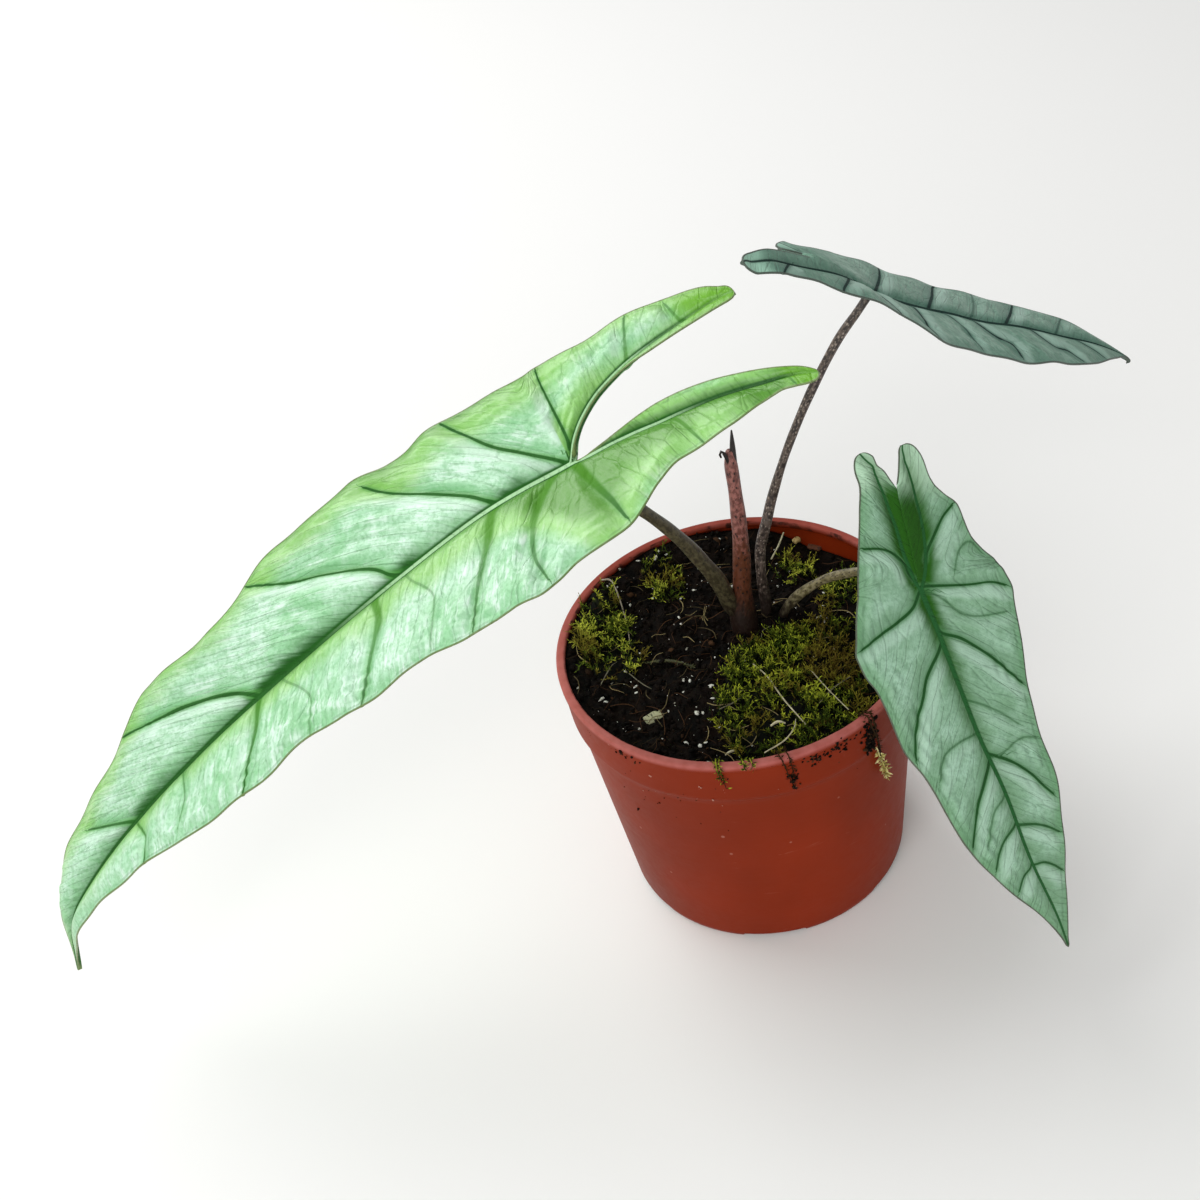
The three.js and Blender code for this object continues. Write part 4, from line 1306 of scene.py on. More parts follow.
RIGHT_FINISH = LeafFinish(
    slot=Slot.RIGHT_LEAF,
    panel="7ea985",
    pale="a4ccb1",
    shade="6c9674",
    vein="1a4e1e",
    halo="4e8353",
    rib="215c2a",
    strip="225a0a",
    margin="5f9a62",
    rim="56604e",
    tips="c6eaca",
    back="a5c0ab",
    back_vein="7d9c84",
    roughness=0.52,
    coat=0.08,
    veinlets=0.1,
    painted_highlight="b8dac4",
    striped=0.08,
    marginal=2.4,
    rib_edge=(1.7, 0.9),
)


# ---- Stalks and the new leaf


@dataclass(frozen=True)
class StalkFinish:
    """Skin of a stalk: two mottled tones with darker or paler spots, and the peat's colour near the foot.

    Middle is a colour up to its height in millimetres along the rod, and tip the colour of what carries
    the number tip. Pore is the scale of the spots across and along the rod.
    """

    name: str
    skin: str
    light: str
    fleck: str
    foot: str
    foot_height: float
    flecks: float
    tip: str = ""
    middle: str = ""
    middle_height: float = 0.0
    pore: tuple[float, float, float] = (0.8, 0.8, 0.45)
    roughness: float = 0.48

    def material(self) -> bpy.types.Material:
        """The skin, whose pattern follows the rod before it was bent."""
        paint = Paint(self.name)
        rod = paint.attribute("rod", "Vector")
        height = paint.axis(rod, "Z")
        fibres = paint.noise(paint.stretched(rod, (1.4, 1.4, 0.12)), 1.0, 3.0)
        mottle = paint.noise(paint.stretched(rod, (0.85, 0.85, 0.5)), 1.0, 3.0)
        pores = paint.cells(paint.stretched(rod, self.pore), 1.0)
        specks = paint.noise(paint.stretched(rod, (1.9, 1.9, 1.0)), 1.0, 2.0)
        spots = paint.band(pores + mottle * 0.25, 0.45, 0.28) + paint.band(specks, 0.58, 0.66) * 0.6
        foot = paint.band(height + mottle * 14.0, self.foot_height + 10.0, self.foot_height - 8.0)
        coats = [
            (paint.band(mottle, 0.4, 0.62), self.light),
            (paint.band(fibres, 0.55, 0.75) * 0.5, self.light),
        ]
        if self.middle:
            low = paint.band(height + mottle * 22.0, self.middle_height + 16.0, self.middle_height - 4.0)
            coats.append((low * 0.85, self.middle))
        coats += [(spots * self.flecks, self.fleck), (foot, self.foot)]
        if self.tip:
            coats.append((paint.attribute("tip"), self.tip))
        relief = fibres * 0.6 + mottle * 0.5 - spots * 0.3
        return paint.done(
            Base_Color=paint.over(tint(self.skin), *coats),
            Roughness=mottle * 0.2 + (self.roughness - 0.1),
            Normal=paint.bump(relief, 0.3, 0.8),
        )


@dataclass
class Stalk:
    """A round stem: a straight rod raised ring by ring and bent onto its route."""

    name: str
    rows: Rows
    sides: int = 22
    step: float = 1.5
    lumps: float = 0.03

    def _path(self) -> tuple[np.ndarray, np.ndarray, np.ndarray]:
        """The route's points, their distance along it, and the distance of each row."""
        steps = 24
        path = through([row[:3] for row in self.rows], steps)
        along = np.concatenate([[0], np.cumsum(np.linalg.norm(np.diff(path, axis=0), axis=1))])
        return path, along, along[::steps]

    def _frames(self, path: np.ndarray) -> tuple[np.ndarray, np.ndarray]:
        """Two directions across the route that turn as little as they can along it."""
        ahead = unit(np.gradient(path, axis=0))
        across = np.empty_like(path)
        start = np.array([1.0, 0, 0]) if abs(ahead[0, 0]) < 0.8 else np.array([0, 1.0, 0])
        for index, tangent in enumerate(ahead):
            start = start - tangent * start.dot(tangent)
            start /= np.linalg.norm(start)
            across[index] = start
        return across, np.cross(ahead, across)

    def rod(self) -> bpy.types.Object:
        """The stem, bent, with its straight form kept for the skin's pattern."""
        path, along, stations = self._path()
        length = along[-1]
        table = [(at, row[3]) for at, row in zip(stations, self.rows)]
        first, last = self.rows[0][3], self.rows[-1][3]
        middle = np.linspace(0.5 * first, length - 0.5 * last, max(4, round(length / self.step)))
        profile = [(0.45 * first, 0.0), (0.86 * first, 0.15 * first)]
        profile += [(float(radius), float(at)) for radius, at in zip(eased(table, middle), middle)]
        profile += [(0.86 * last, length - 0.15 * last), (0.45 * last, length)]
        rod = Bench.rings(self.name, profile, self.sides)
        straight = Bench.corners(rod)
        z = straight[:, 2]
        turn = np.arctan2(straight[:, 1], straight[:, 0])
        swell = 1 + self.lumps * (np.sin(z / 3.1 + 2 * turn) + np.sin(z / 7.7 - turn))
        across, beside = self._frames(path)
        read = lambda table: np.stack([np.interp(z, along, table[:, k]) for k in range(3)], -1)
        out = straight[:, :1] * read(across) + straight[:, 1:2] * read(beside)
        Bench.carry(rod, rod=straight)
        Bench.move(rod, read(path) + out * swell[:, None])
        return rod


@dataclass
class LeafStalk:
    """A leaf's stalk, dressed."""

    stalk: Stalk
    finish: StalkFinish
    node: str

    def build(self) -> bpy.types.Object:
        """Bends the stalk and dresses it."""
        return Bench.hand_in(self.stalk.rod(), Slot.STALK, [self.finish.material()], [self.node], 60)


@dataclass
class NewLeaf:
    """The rolled new leaf: a sheath with a dry curl at its mouth, and the leaf's tip in it."""

    finish: StalkFinish
    sheath: Rows = (
        (4.5, 12, 74, 4.2), (4.5, 12, 88, 4.9), (4.5, 12, 94, 4.6), (4.9, 12, 99, 3.9),
        (5.4, 12, 104, 3.3), (6.8, 11.4, 118, 2.9), (7.6, 10.4, 134, 2.5), (8, 10, 149, 2.2),
        (8, 10, 158, 2.1), (8.1, 10, 164.5, 1.2),
    )
    tip: Rows = (
        (8, 10, 148, 1.4), (8.6, 10, 158, 1.3), (9.2, 10, 165, 0.95), (9.7, 10, 171.8, 0.25),
    )
    curl: Rows = (
        (7.6, 9.4, 159, 0.75), (6.6, 8.8, 163.3, 0.6), (5.7, 8.6, 165.6, 0.5), (4.9, 8.7, 164.8, 0.4),
        (5.2, 9.0, 163, 0.3),
    )

    def build(self) -> bpy.types.Object:
        """Bends the three rods and joins them."""
        parts = []
        for name, rows, share in (
            ("sheath", self.sheath, 0.0),
            ("tip", self.tip, 1.0),
            ("curl", self.curl, 0.5),
        ):
            rod = Stalk(name, rows, sides=18, step=1.3).rod()
            Bench.carry(rod, tip=np.full(len(rod.data.vertices), share))
            parts.append(rod)
        piece = Bench.join("new_leaf", parts)
        return Bench.hand_in(piece, Slot.SHEATH, [self.finish.material()], ["new_leaf_spike"], 60)


# ---- The pot


@dataclass(frozen=True)
class PotFinish:
    """Moulded terracotta-coloured plastic with soil dust."""

    body: str = "8b2c0f"
    deep: str = "78250a"
    # The colour of the painted highlight along the lip's top.
    lip_highlight: str = "bc6e68"
    dust: str = "1d130d"
    fleck: str = "c49080"
    roughness: float = 0.46

    def material(self) -> bpy.types.Material:
        """The plastic: cloudy, fine scuffs, a painted highlight on the lip, brightest at the front, dirt
        inside the rim.
        """
        paint = Paint("pot_plastic_moulded")
        place = paint.place()
        lip, dirty = paint.attributes("lip", "soiled")
        drift = paint.noise(place, 16.0, 3.0)
        grain = paint.noise(place, 320.0, 3.0)
        scuffs = paint.noise(paint.stretched(place, (1.0, 1.0, 5.0)), 60.0, 4.0, 1.5)
        dust = paint.noise(place, 150.0, 5.0, 0.8)
        dots = paint.cells(place, 110.0)
        # The painted highlight on the lip is stronger at the front than at the back.
        front_highlight = paint.band(paint.axis(place, "Y"), 0.05, 0.0) * 0.6 + 0.4
        soiled = paint.band(dust, 0.46, 0.6) * dirty
        colour = paint.over(
            tint(self.deep),
            (paint.band(drift, 0.3, 0.7), self.body),
            (paint.band(scuffs, 0.68, 0.78) * 0.14, self.fleck),
            # Painted highlight along the top of the lip.
            (lip * front_highlight * (0.35 + grain * 0.7), self.lip_highlight),
            (paint.band(dots + drift * 0.1, 0.12, 0.08) * 0.35, self.fleck),
            (soiled, self.dust),
        )
        rough = soiled * 0.4 + grain * 0.16 + drift * 0.1 + (self.roughness - 0.13)
        relief = grain * 0.5 + scuffs * 0.4 + soiled * 1.2
        return paint.done(
            Base_Color=colour,
            Roughness=rough,
            Specular_IOR_Level=0.06,
            Normal=paint.bump(relief, 0.2, 0.5),
        )


@dataclass
class NurseryPot:
    """The moulded pot: ring channel, notched foot, drain holes, rim band and rolled lip."""

    height: float = 98.0
    rim: float = 60.0
    base: float = 49.0
    band_bottom: float = 80.5
    body_top: float = 57.0
    band: float = 58.6
    wall: float = 1.6
    lip: float = 3.0
    lip_height: float = 2.4
    channel: tuple[float, float] = (22.0, 38.0)
    lift: float = 3.0
    sides: int = 144
    notches: int = 6
    first_notch: float = 261.0
    notch_size: tuple[float, float, float] = (12.0, 21.6, 4.0)
    drains: int = 6
    drain_radius: float = 4.0
    drain_ring: float = 30.0
    finish: PotFinish = field(default_factory=PotFinish)

    def outside(self, z: float) -> float:
        """The body's outer radius at a height under the band."""
        return self.base - 1 + (self.body_top - self.base + 1) * z / self.band_bottom

    def skin(self, z: float) -> float:
        """The outermost radius at a height, with the band and the lip."""
        if z > self.height - self.lip_height:
            return self.rim
        return self.band + 0.2 if z > self.band_bottom else self.outside(z)

    @staticmethod
    def _arc(middle: tuple[float, float], radius: float, start: float, end: float, steps: int) -> list:
        """Profile rows round a corner, from one angle to another in degrees."""
        turns = np.radians(np.linspace(start, end, steps + 1))
        return [(middle[0] + radius * math.cos(t), middle[1] + radius * math.sin(t)) for t in turns]

    def _profile(self) -> list[tuple[float, float]]:
        """The section, from the middle of the foot up the outside, over the lip and down to the floor."""
        inner, outer = self.channel
        floor, rim, top = self.lift + self.wall, self.rim, self.height
        foot, ledge, under, mouth = self.base - 1, self.band_bottom, top - self.lip_height, rim - self.lip
        return [
            (6, 0), (inner - 0.5, 0), (inner, 0.3), (inner + 1.8, self.lift), (outer - 1.8, self.lift),
            (outer, 0.3), (outer + 0.5, 0), (foot - 2, 0), (foot - 0.9, 0.3), (foot - 0.2, 1.0),
            *[(self.outside(z), z) for z in (3, 20, 40, 60, 77)],
            (self.body_top - 0.1, ledge - 1.2), (self.body_top + 0.35, ledge - 0.5),
            (self.band - 0.5, ledge + 0.3), (self.band - 0.05, ledge + 1.0),
            (self.band + 0.05, ledge + 2.2), (rim - 0.75, under - 2.6), (rim - 0.6, under - 0.6),
            (rim - 0.1, under),
            *self._arc((rim - 0.9, top - 0.9), 0.9, 0, 90, 5),
            *self._arc((mouth + 0.9, top - 0.9), 0.9, 90, 180, 5),
            (mouth + 0.1, under + 0.4), (rim - self.wall - 0.4, under - 0.7),
            (self.band - self.wall, ledge + 1), (self.body_top - self.wall, ledge - 1),
            (self.outside(40) - self.wall, 40), (self.outside(6) - self.wall, 6), (self.base - 4, 4),
            (self.base - 5, 3.6), (outer + 1, 3.6), (outer - 1, floor), (inner + 1, floor),
            (inner - 1, self.wall), (6, self.wall),
        ]

    def _cut(self, pot: bpy.types.Object, cutter: bpy.types.Object) -> None:
        """Takes a cutter's shape out of the pot and removes the cutter."""
        Bench.apply(pot, "BOOLEAN", object=cutter, operation="DIFFERENCE", solver="EXACT")
        bpy.data.objects.remove(cutter)

    def _notch(self, angle: float) -> bpy.types.Object:
        """A rounded block at the foot's edge."""
        Bench.clear()
        at = [value * MM for value in polar(self.base, angle, 0)]
        bpy.ops.mesh.primitive_cube_add(size=1, location=at, rotation=(0, 0, angle))
        block = bpy.context.object
        block.scale = [size * MM for size in self.notch_size]
        bpy.ops.object.transform_apply(location=True, rotation=True, scale=True)
        with Bench.editing(block):
            bpy.ops.mesh.bevel(offset=1.2 * MM, segments=3)
        return block

    def _drain(self, angle: float) -> bpy.types.Object:
        """A drill through the ring channel."""
        Bench.clear()
        at = [value * MM for value in polar(self.drain_ring, angle, self.lift)]
        bpy.ops.mesh.primitive_cylinder_add(
            vertices=28, radius=self.drain_radius * MM, depth=4 * self.wall * MM, location=at
        )
        drill = bpy.context.object
        bpy.ops.object.transform_apply(location=True)
        return drill

    def build(self) -> bpy.types.Object:
        """Raises the shell, cuts notches and drains, and dresses it."""
        pot = Bench.rings("pot", self._profile(), self.sides)
        for index in range(self.notches):
            self._cut(pot, self._notch(math.radians(self.first_notch) + math.tau * index / self.notches))
        for index in range(self.drains):
            self._cut(pot, self._drain(math.tau * (index + 0.5) / self.drains))
        corners = Bench.corners(pot)
        radius, height = np.hypot(corners[:, 0], corners[:, 1]), corners[:, 2]
        # Where the painted highlight along the lip's top lies.
        lip = ramp(height, self.height - 1.9, self.height - 0.5)
        wall = np.where(height > self.band_bottom + 1.5, self.band, self.outside(height))
        Bench.carry(pot, lip=lip, soiled=0.85 * (radius < wall - 1.0))
        return Bench.hand_in(pot, Slot.POT, [self.finish.material()], ["nursery_pot"], 32)


# ---- Soil


@dataclass(frozen=True)
class SoilFinish:
    """Dark moist peat, in which tint 0 to 1 runs from black crumbs to brown fibre."""

    black: str = "040302"
    brown: str = "150d08"
    fibre: str = "4a3220"
    roughness: float = 0.85

    def material(self, name: str) -> bpy.types.Material:
        """The peat."""
        paint = Paint(name)
        place = paint.place()
        grain = paint.noise(place, 900.0, 4.0)
        lumps = paint.noise(place, 260.0, 4.0)
        colour = paint.over(
            tint(self.black),
            (paint.band(lumps + grain * 0.5, 0.55, 0.95), self.brown),
            (paint.band(paint.attribute("tint"), 0.62, 1.0), self.fibre),
        )
        return paint.done(
            Base_Color=colour,
            Roughness=grain * 0.2 + (self.roughness - 0.1),
            Specular_IOR_Level=0.08,
            Normal=paint.bump(lumps + grain * 0.6, 0.8, 0.9),
        )


@dataclass(frozen=True)
class GrainFinish:
    """Perlite, bark, or the pale specks on the pot."""

    name: str
    light: str
    dark: str
    striped: bool = False

    def material(self) -> bpy.types.Material:
        """Matt, with pits or with stripes."""
        paint = Paint(self.name)
        pits = paint.noise(paint.place(), 1100.0, 4.0)
        if self.striped:
            pits = paint.noise(paint.stretched(paint.attribute("rod", "Vector"), (9.0, 1.0, 1.0)), 0.9, 2.0)
        stain = paint.band(pits + paint.attribute("tint") * 0.25, 0.42, 0.62)
        colour = paint.mix(stain, tint(self.dark), tint(self.light))
        return paint.done(Base_Color=colour, Roughness=0.7 + pits * 0.2, Normal=paint.bump(pits, 0.3, 0.8))


class Bits:
    """Small shapes of the potting mix, each modelled once."""

    @staticmethod
    def crumb(size: Sequence[float], seed: int) -> Template:
        """An uneven crumb about one millimetre across."""
        Bench.clear()
        bpy.ops.mesh.primitive_ico_sphere_add(subdivisions=1, radius=0.5 * MM)
        bit = bpy.context.object
        with Bench.editing(bit):
            bpy.ops.transform.vertex_random(offset=0.24 * MM, seed=seed)
            bpy.ops.transform.resize(value=tuple(size))
        return Template.of(bit)

    @staticmethod
    def crumbs(seed: int, *sizes: Sequence[float]) -> list[Template]:
        """Crumbs of different sizes, with seeds that count up from the first."""
        return [Bits.crumb(size, seed + index) for index, size in enumerate(sizes)]

    @staticmethod
    def thread(rows: Rows, sides: int = 4) -> Template:
        """A thin bent thread."""
        rod = Stalk("thread", rows, sides=sides, step=1.0, lumps=0.0).rod()
        return Template.of(rod)


@dataclass
class SoilBed:
    """The potting mix: a body inside the pot with a crumbled top, and loose crumbs, fibres and grains.

    Level is the height of its top, hollow how deep that dips round the stalks, back_drop how far it sinks
    at the back, and bank how far it rises along the rim at the back left.
    """

    level: float = 91.5
    hollow: float = 3.0
    back_drop: float = 5.0
    bank: float = 4.3
    edge: float = 57.0
    sides: int = 176
    rings: int = 50
    roughness: float = 1.5
    crumbs: int = 3800
    fibres: int = 420
    litter: int = 110
    grains: int = 420
    seed: int = 11

    def top(self, x: np.ndarray, y: np.ndarray) -> np.ndarray:
        """The height of the soil without its crumbs."""
        crown = np.exp(-((x - 2) ** 2 + (y - 6) ** 2) / 300)
        back = np.exp(-((x - 34) ** 2 + (y - 38) ** 2) / 400)
        lumps = 0.7 * np.sin(x / 7 + 1) * np.cos(y / 6) + 0.4 * np.sin((x + y) / 4)
        bank = ramp(np.hypot(x, y), 42.0, 55.0) * ramp(0.8 * y - 0.6 * x, 8.0, 34.0)
        return self.level - self.hollow * crown - self.back_drop * back + self.bank * bank + lumps

    def height_at(self, x: float, y: float) -> float:
        """The height of the soil without its crumbs at one place."""
        return float(self.top(np.array(x), np.array(y)))

    def rough_top(self, spots: np.ndarray) -> np.ndarray:
        """The height of the soil with its lumps, at rows of x and y."""
        flat = np.column_stack([spots, np.zeros(len(spots))])
        lumps = clouds(flat, 5.0, 4) + 0.5 * clouds(flat + 40, 2.0, 2)
        rim = ramp(np.hypot(spots[:, 0], spots[:, 1]), self.edge, self.edge - 3)
        return self.top(spots[:, 0], spots[:, 1]) + self.roughness * lumps * (0.4 + 0.6 * rim)

    def spots(self, rng: np.random.Generator, count: int, reach: float) -> np.ndarray:
        """Random places within a reach of the pot's axis."""
        radius = reach * np.sqrt(rng.random(count))
        turn = rng.random(count) * math.tau
        return np.column_stack([radius * np.cos(turn), radius * np.sin(turn)])

    def _body(self) -> bpy.types.Object:
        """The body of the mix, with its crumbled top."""
        pot = NurseryPot()
        inner = lambda z: pot.outside(z) - pot.wall - 0.3
        profile = [(10, 4.9), (inner(6.4) - 1.5, 4.9), (inner(6.4), 6.6), (inner(40), 40)]
        profile += [(inner(79.5), 79.5), (self.edge - 0.5, 82.5), (self.edge, self.level - 3)]
        profile += [(float(radius), self.level) for radius in np.linspace(self.edge, 0.8, self.rings)]
        body = Bench.rings("soil_bed", profile, self.sides)
        corners = Bench.corners(body)
        on_top = corners[:, 2] > self.level - 0.1
        corners[on_top, 2] = self.rough_top(corners[on_top, :2])
        Bench.move(body, corners)
        plain = np.zeros(len(corners))
        Bench.carry(body, rise=plain, tint=plain)
        return body

    def build(self) -> None:
        """Makes the body and scatters the loose bits on it."""
        rng = np.random.default_rng(self.seed)
        finish, pale = SoilFinish(), SoilFinish(brown="3a3020", fibre="94845c")
        Bench.hand_in(self._body(), Slot.SOIL, [finish.material("peat")], ["potting_soil"], 180)
        shapes = Bits.crumbs(1, (1, 0.8, 0.7), (1.3, 0.7, 0.5), (0.9, 0.9, 0.8))
        loose = Copies()
        spots = self.spots(rng, self.crumbs, self.edge - 1)
        heights = self.rough_top(spots)
        for index, (spot, height) in enumerate(zip(spots, heights)):
            size = 0.6 + 2.2 * rng.random() ** 2.6
            turn = turned(rng, 70, (size, size, 0.8 * size))
            shade = 0.9 * rng.random() ** 4.0
            loose.add(shapes[index % 3], turn, np.array([*spot, height + 0.25 * size]), shade)
        Bench.hand_in(loose.piece("soil_crumbs"), Slot.SOIL, [finish.material("peat_crumbs")])
        self._threads("soil_fibres", rng, self.fibres, finish, 0.8)
        self._threads("pale_fibres", rng, self.litter, pale, 1.6)
        self._grains(rng)

    def _threads(
        self, name: str, rng: np.random.Generator, count: int, finish: SoilFinish, over: float
    ) -> None:
        """Fine fibres that lie about, a height over the soil."""
        threads = [
            Bits.thread(((0, 0, -3, 0.12), (0.6, 0.2, -1, 0.13), (0.3, -0.5, 1, 0.12), (-0.6, 0, 3, 0.06))),
            Bits.thread(((0, 0, -4, 0.1), (-0.8, 0.4, -1.4, 0.14), (0, 0.6, 1.2, 0.12), (1.2, 0, 4, 0.05))),
        ]
        hair = Copies()
        spots = self.spots(rng, count, self.edge - 2)
        heights = self.rough_top(spots)
        for index, (spot, height) in enumerate(zip(spots, heights)):
            size = 0.6 + 0.8 * rng.random()
            turn = Matrix.Rotation(rng.uniform(0, math.tau), 3, "Z")
            lean = Matrix.Rotation(math.radians(rng.uniform(66, 100)), 3, "X")
            place = np.array([*spot, height + over])
            hair.add(threads[index % 2], np.array(turn @ lean) * size, place, rng.uniform(0.5, 1))
        Bench.hand_in(hair.piece(name), Slot.SOIL, [finish.material(name + "_skin")], smooth=180)

    def _grains(self, rng: np.random.Generator) -> None:
        """Perlite specks, and the few larger grains."""
        shapes = Bits.crumbs(7, (1, 0.6, 0.4), (0.8, 0.5, 0.7), (1.3, 0.5, 0.35))
        pale = Copies()
        spots = self.spots(rng, self.grains, self.edge - 2)
        sizes = 0.3 + 1.5 * rng.random(self.grains) ** 3.6
        placed = np.array(LARGE_GRAINS)
        spots = np.vstack([spots, placed[:, :2]])
        sizes = np.concatenate([sizes, placed[:, 2]])
        heights = self.rough_top(spots)
        for index, (spot, size, height) in enumerate(zip(spots, sizes, heights)):
            turn = turned(rng, 50, size)
            pale.add(shapes[index % 3], turn, np.array([*spot, height + 0.5 * size]), rng.random())
        finish = GrainFinish("perlite", "d8d6cc", "6e6858")
        Bench.hand_in(pale.piece("perlite_grains"), Slot.SOIL, [finish.material()])


@dataclass
class Chip:
    """A single larger bit on the soil, by its place, size and turn about Z in degrees."""

    name: str
    at: tuple[float, float]
    size: tuple[float, float, float]
    turn: float
    finish: GrainFinish

    def build(self, soil: SoilBed) -> bpy.types.Object:
        """Rounds a block, roughens it and lays it down."""
        Bench.clear()
        bpy.ops.mesh.primitive_cube_add(size=1 * MM)
        chip = bpy.context.object
        with Bench.editing(chip):
            bpy.ops.mesh.subdivide(number_cuts=4, smoothness=0.45)
            bpy.ops.transform.vertex_random(offset=0.09 * MM, seed=3)
        height = float(soil.rough_top(np.array([self.at]))[0])
        turn = np.array(Matrix.Rotation(math.radians(self.turn), 3, "Z")) @ np.diag(self.size)
        chip.name = chip.data.name = self.name
        corners = Bench.corners(chip)
        Bench.carry(chip, rod=corners, tint=np.full(len(corners), 0.5))
        Bench.move(chip, corners @ turn.T + np.array([*self.at, height + 0.7 * self.size[2]]))
        return Bench.hand_in(chip, Slot.SOIL, [self.finish.material()], smooth=40)


@dataclass(frozen=True)
class Spatter:
    """A patch of crumbs stuck to the pot's outside, by turn in degrees, height, spread and count."""

    turn: float
    height: float
    spread: tuple[float, float]
    count: int
    size: float


@dataclass
class WallDirt:
    """Crumbs and specks that stick to the outside of the pot."""

    name: str
    patches: Sequence[Spatter]
    material: bpy.types.Material
    seed: int

    def build(self, pot: NurseryPot) -> bpy.types.Object:
        """Presses the crumbs onto the wall."""
        rng = np.random.default_rng(self.seed)
        shapes = Bits.crumbs(4, (1, 0.8, 0.7), (1.3, 0.7, 0.6))
        dirt = Copies()
        for patch in self.patches:
            for index in range(patch.count):
                height = patch.height + patch.spread[1] * rng.normal()
                reach = pot.skin(height)
                angle = math.radians(patch.turn) + patch.spread[0] * rng.normal() / reach
                size = patch.size * rng.uniform(0.5, 1.2)
                spot = np.array(polar(reach + 0.1 * size, angle, height))
                dirt.add(shapes[index % 2], turned(rng, 90, size), spot, rng.random() ** 2)
        return Bench.hand_in(dirt.piece(self.name), Slot.SOIL, [self.material])


# ---- Moss and strands


@dataclass(frozen=True)
class MossFinish:
    """Moss whose shoots run from dark feet to bright tips."""

    name: str
    foot: str = "050703"
    leaf: str = "36450c"
    bright: str = "b6bf38"
    brown: str = "5f4a1a"

    def material(self) -> bpy.types.Material:
        """Colour by the rise along a shoot, the shoot's own tint, and how dry it is."""
        paint = Paint(self.name)
        rise, shade, dry = paint.attributes("rise", "tint", "dry")
        patches = paint.noise(paint.place(), 90.0, 3.0)
        dead = paint.band(patches + shade * 0.2 + dry * 0.27, 0.62, 0.76)
        colour = paint.over(
            # Dark feet: partly the moss's own older stems, partly painted shade deep in the cushion.
            tint(self.foot),
            (paint.band(rise, 0.1, 0.7), self.leaf),
            # Bright tips: partly the moss's own young growth, partly painted highlight.
            (paint.band(rise + shade * 0.8, 0.88, 1.55), self.bright),
            (dead * paint.band(rise, 0.1, 0.5) * 0.8, self.brown),
        )
        return paint.done(Base_Color=colour, Roughness=0.75, Specular_IOR_Level=0.08)


class Shoots:
    """Moss shoots, modelled once and copied."""

    @staticmethod
    def leaflet() -> Template:
        """A narrow pointed leaf that lies along Y."""
        Bench.clear()
        bpy.ops.mesh.primitive_circle_add(vertices=4, radius=0.5 * MM, fill_type="NGON")
        leaf = bpy.context.object
        with Bench.editing(leaf):
            bpy.ops.transform.resize(value=(0.26, 1.0, 1.0))
            bpy.ops.transform.translate(value=(0, 0.5 * MM, 0))
        leaflet = Template.of(leaf)
        leaflet.rise = leaflet.corners[:, 1] / leaflet.corners[:, 1].max()
        return leaflet

    @staticmethod
    def shoot(rows: Rows, leaves: int, length: float, seed: int) -> Template:
        """A thin stem with leaflets all round it.

        Args:
            rows: the stem's route and radii.
            leaves: how many leaflets it has.
            length: the length of the lowest leaflet.
            seed: the seed of the leaflets' turns.

        Returns:
            The shoot, with its foot at the origin.
        """
        rng = np.random.default_rng(seed)
        stem = Bits.thread(rows, 3)
        leaflet = Shoots.leaflet()
        whole = Copies()
        whole.add(stem, np.eye(3), np.zeros(3), 0)
        path = through([row[:3] for row in rows], 8)
        for index in range(leaves):
            share = (index + 0.8) / leaves
            place = path[min(len(path) - 1, round(share * (len(path) - 1)))]
            turn = Matrix.Rotation(index * 2.4 + rng.uniform(-0.4, 0.4), 3, "Z")
            lift = Matrix.Rotation(math.radians(rng.uniform(25, 60)), 3, "X")
            size = length * (1.1 - 0.5 * share)
            whole.add(leaflet, np.array(turn @ lift) * size, place, 0)
        return Template.of(whole.piece("shoot"))


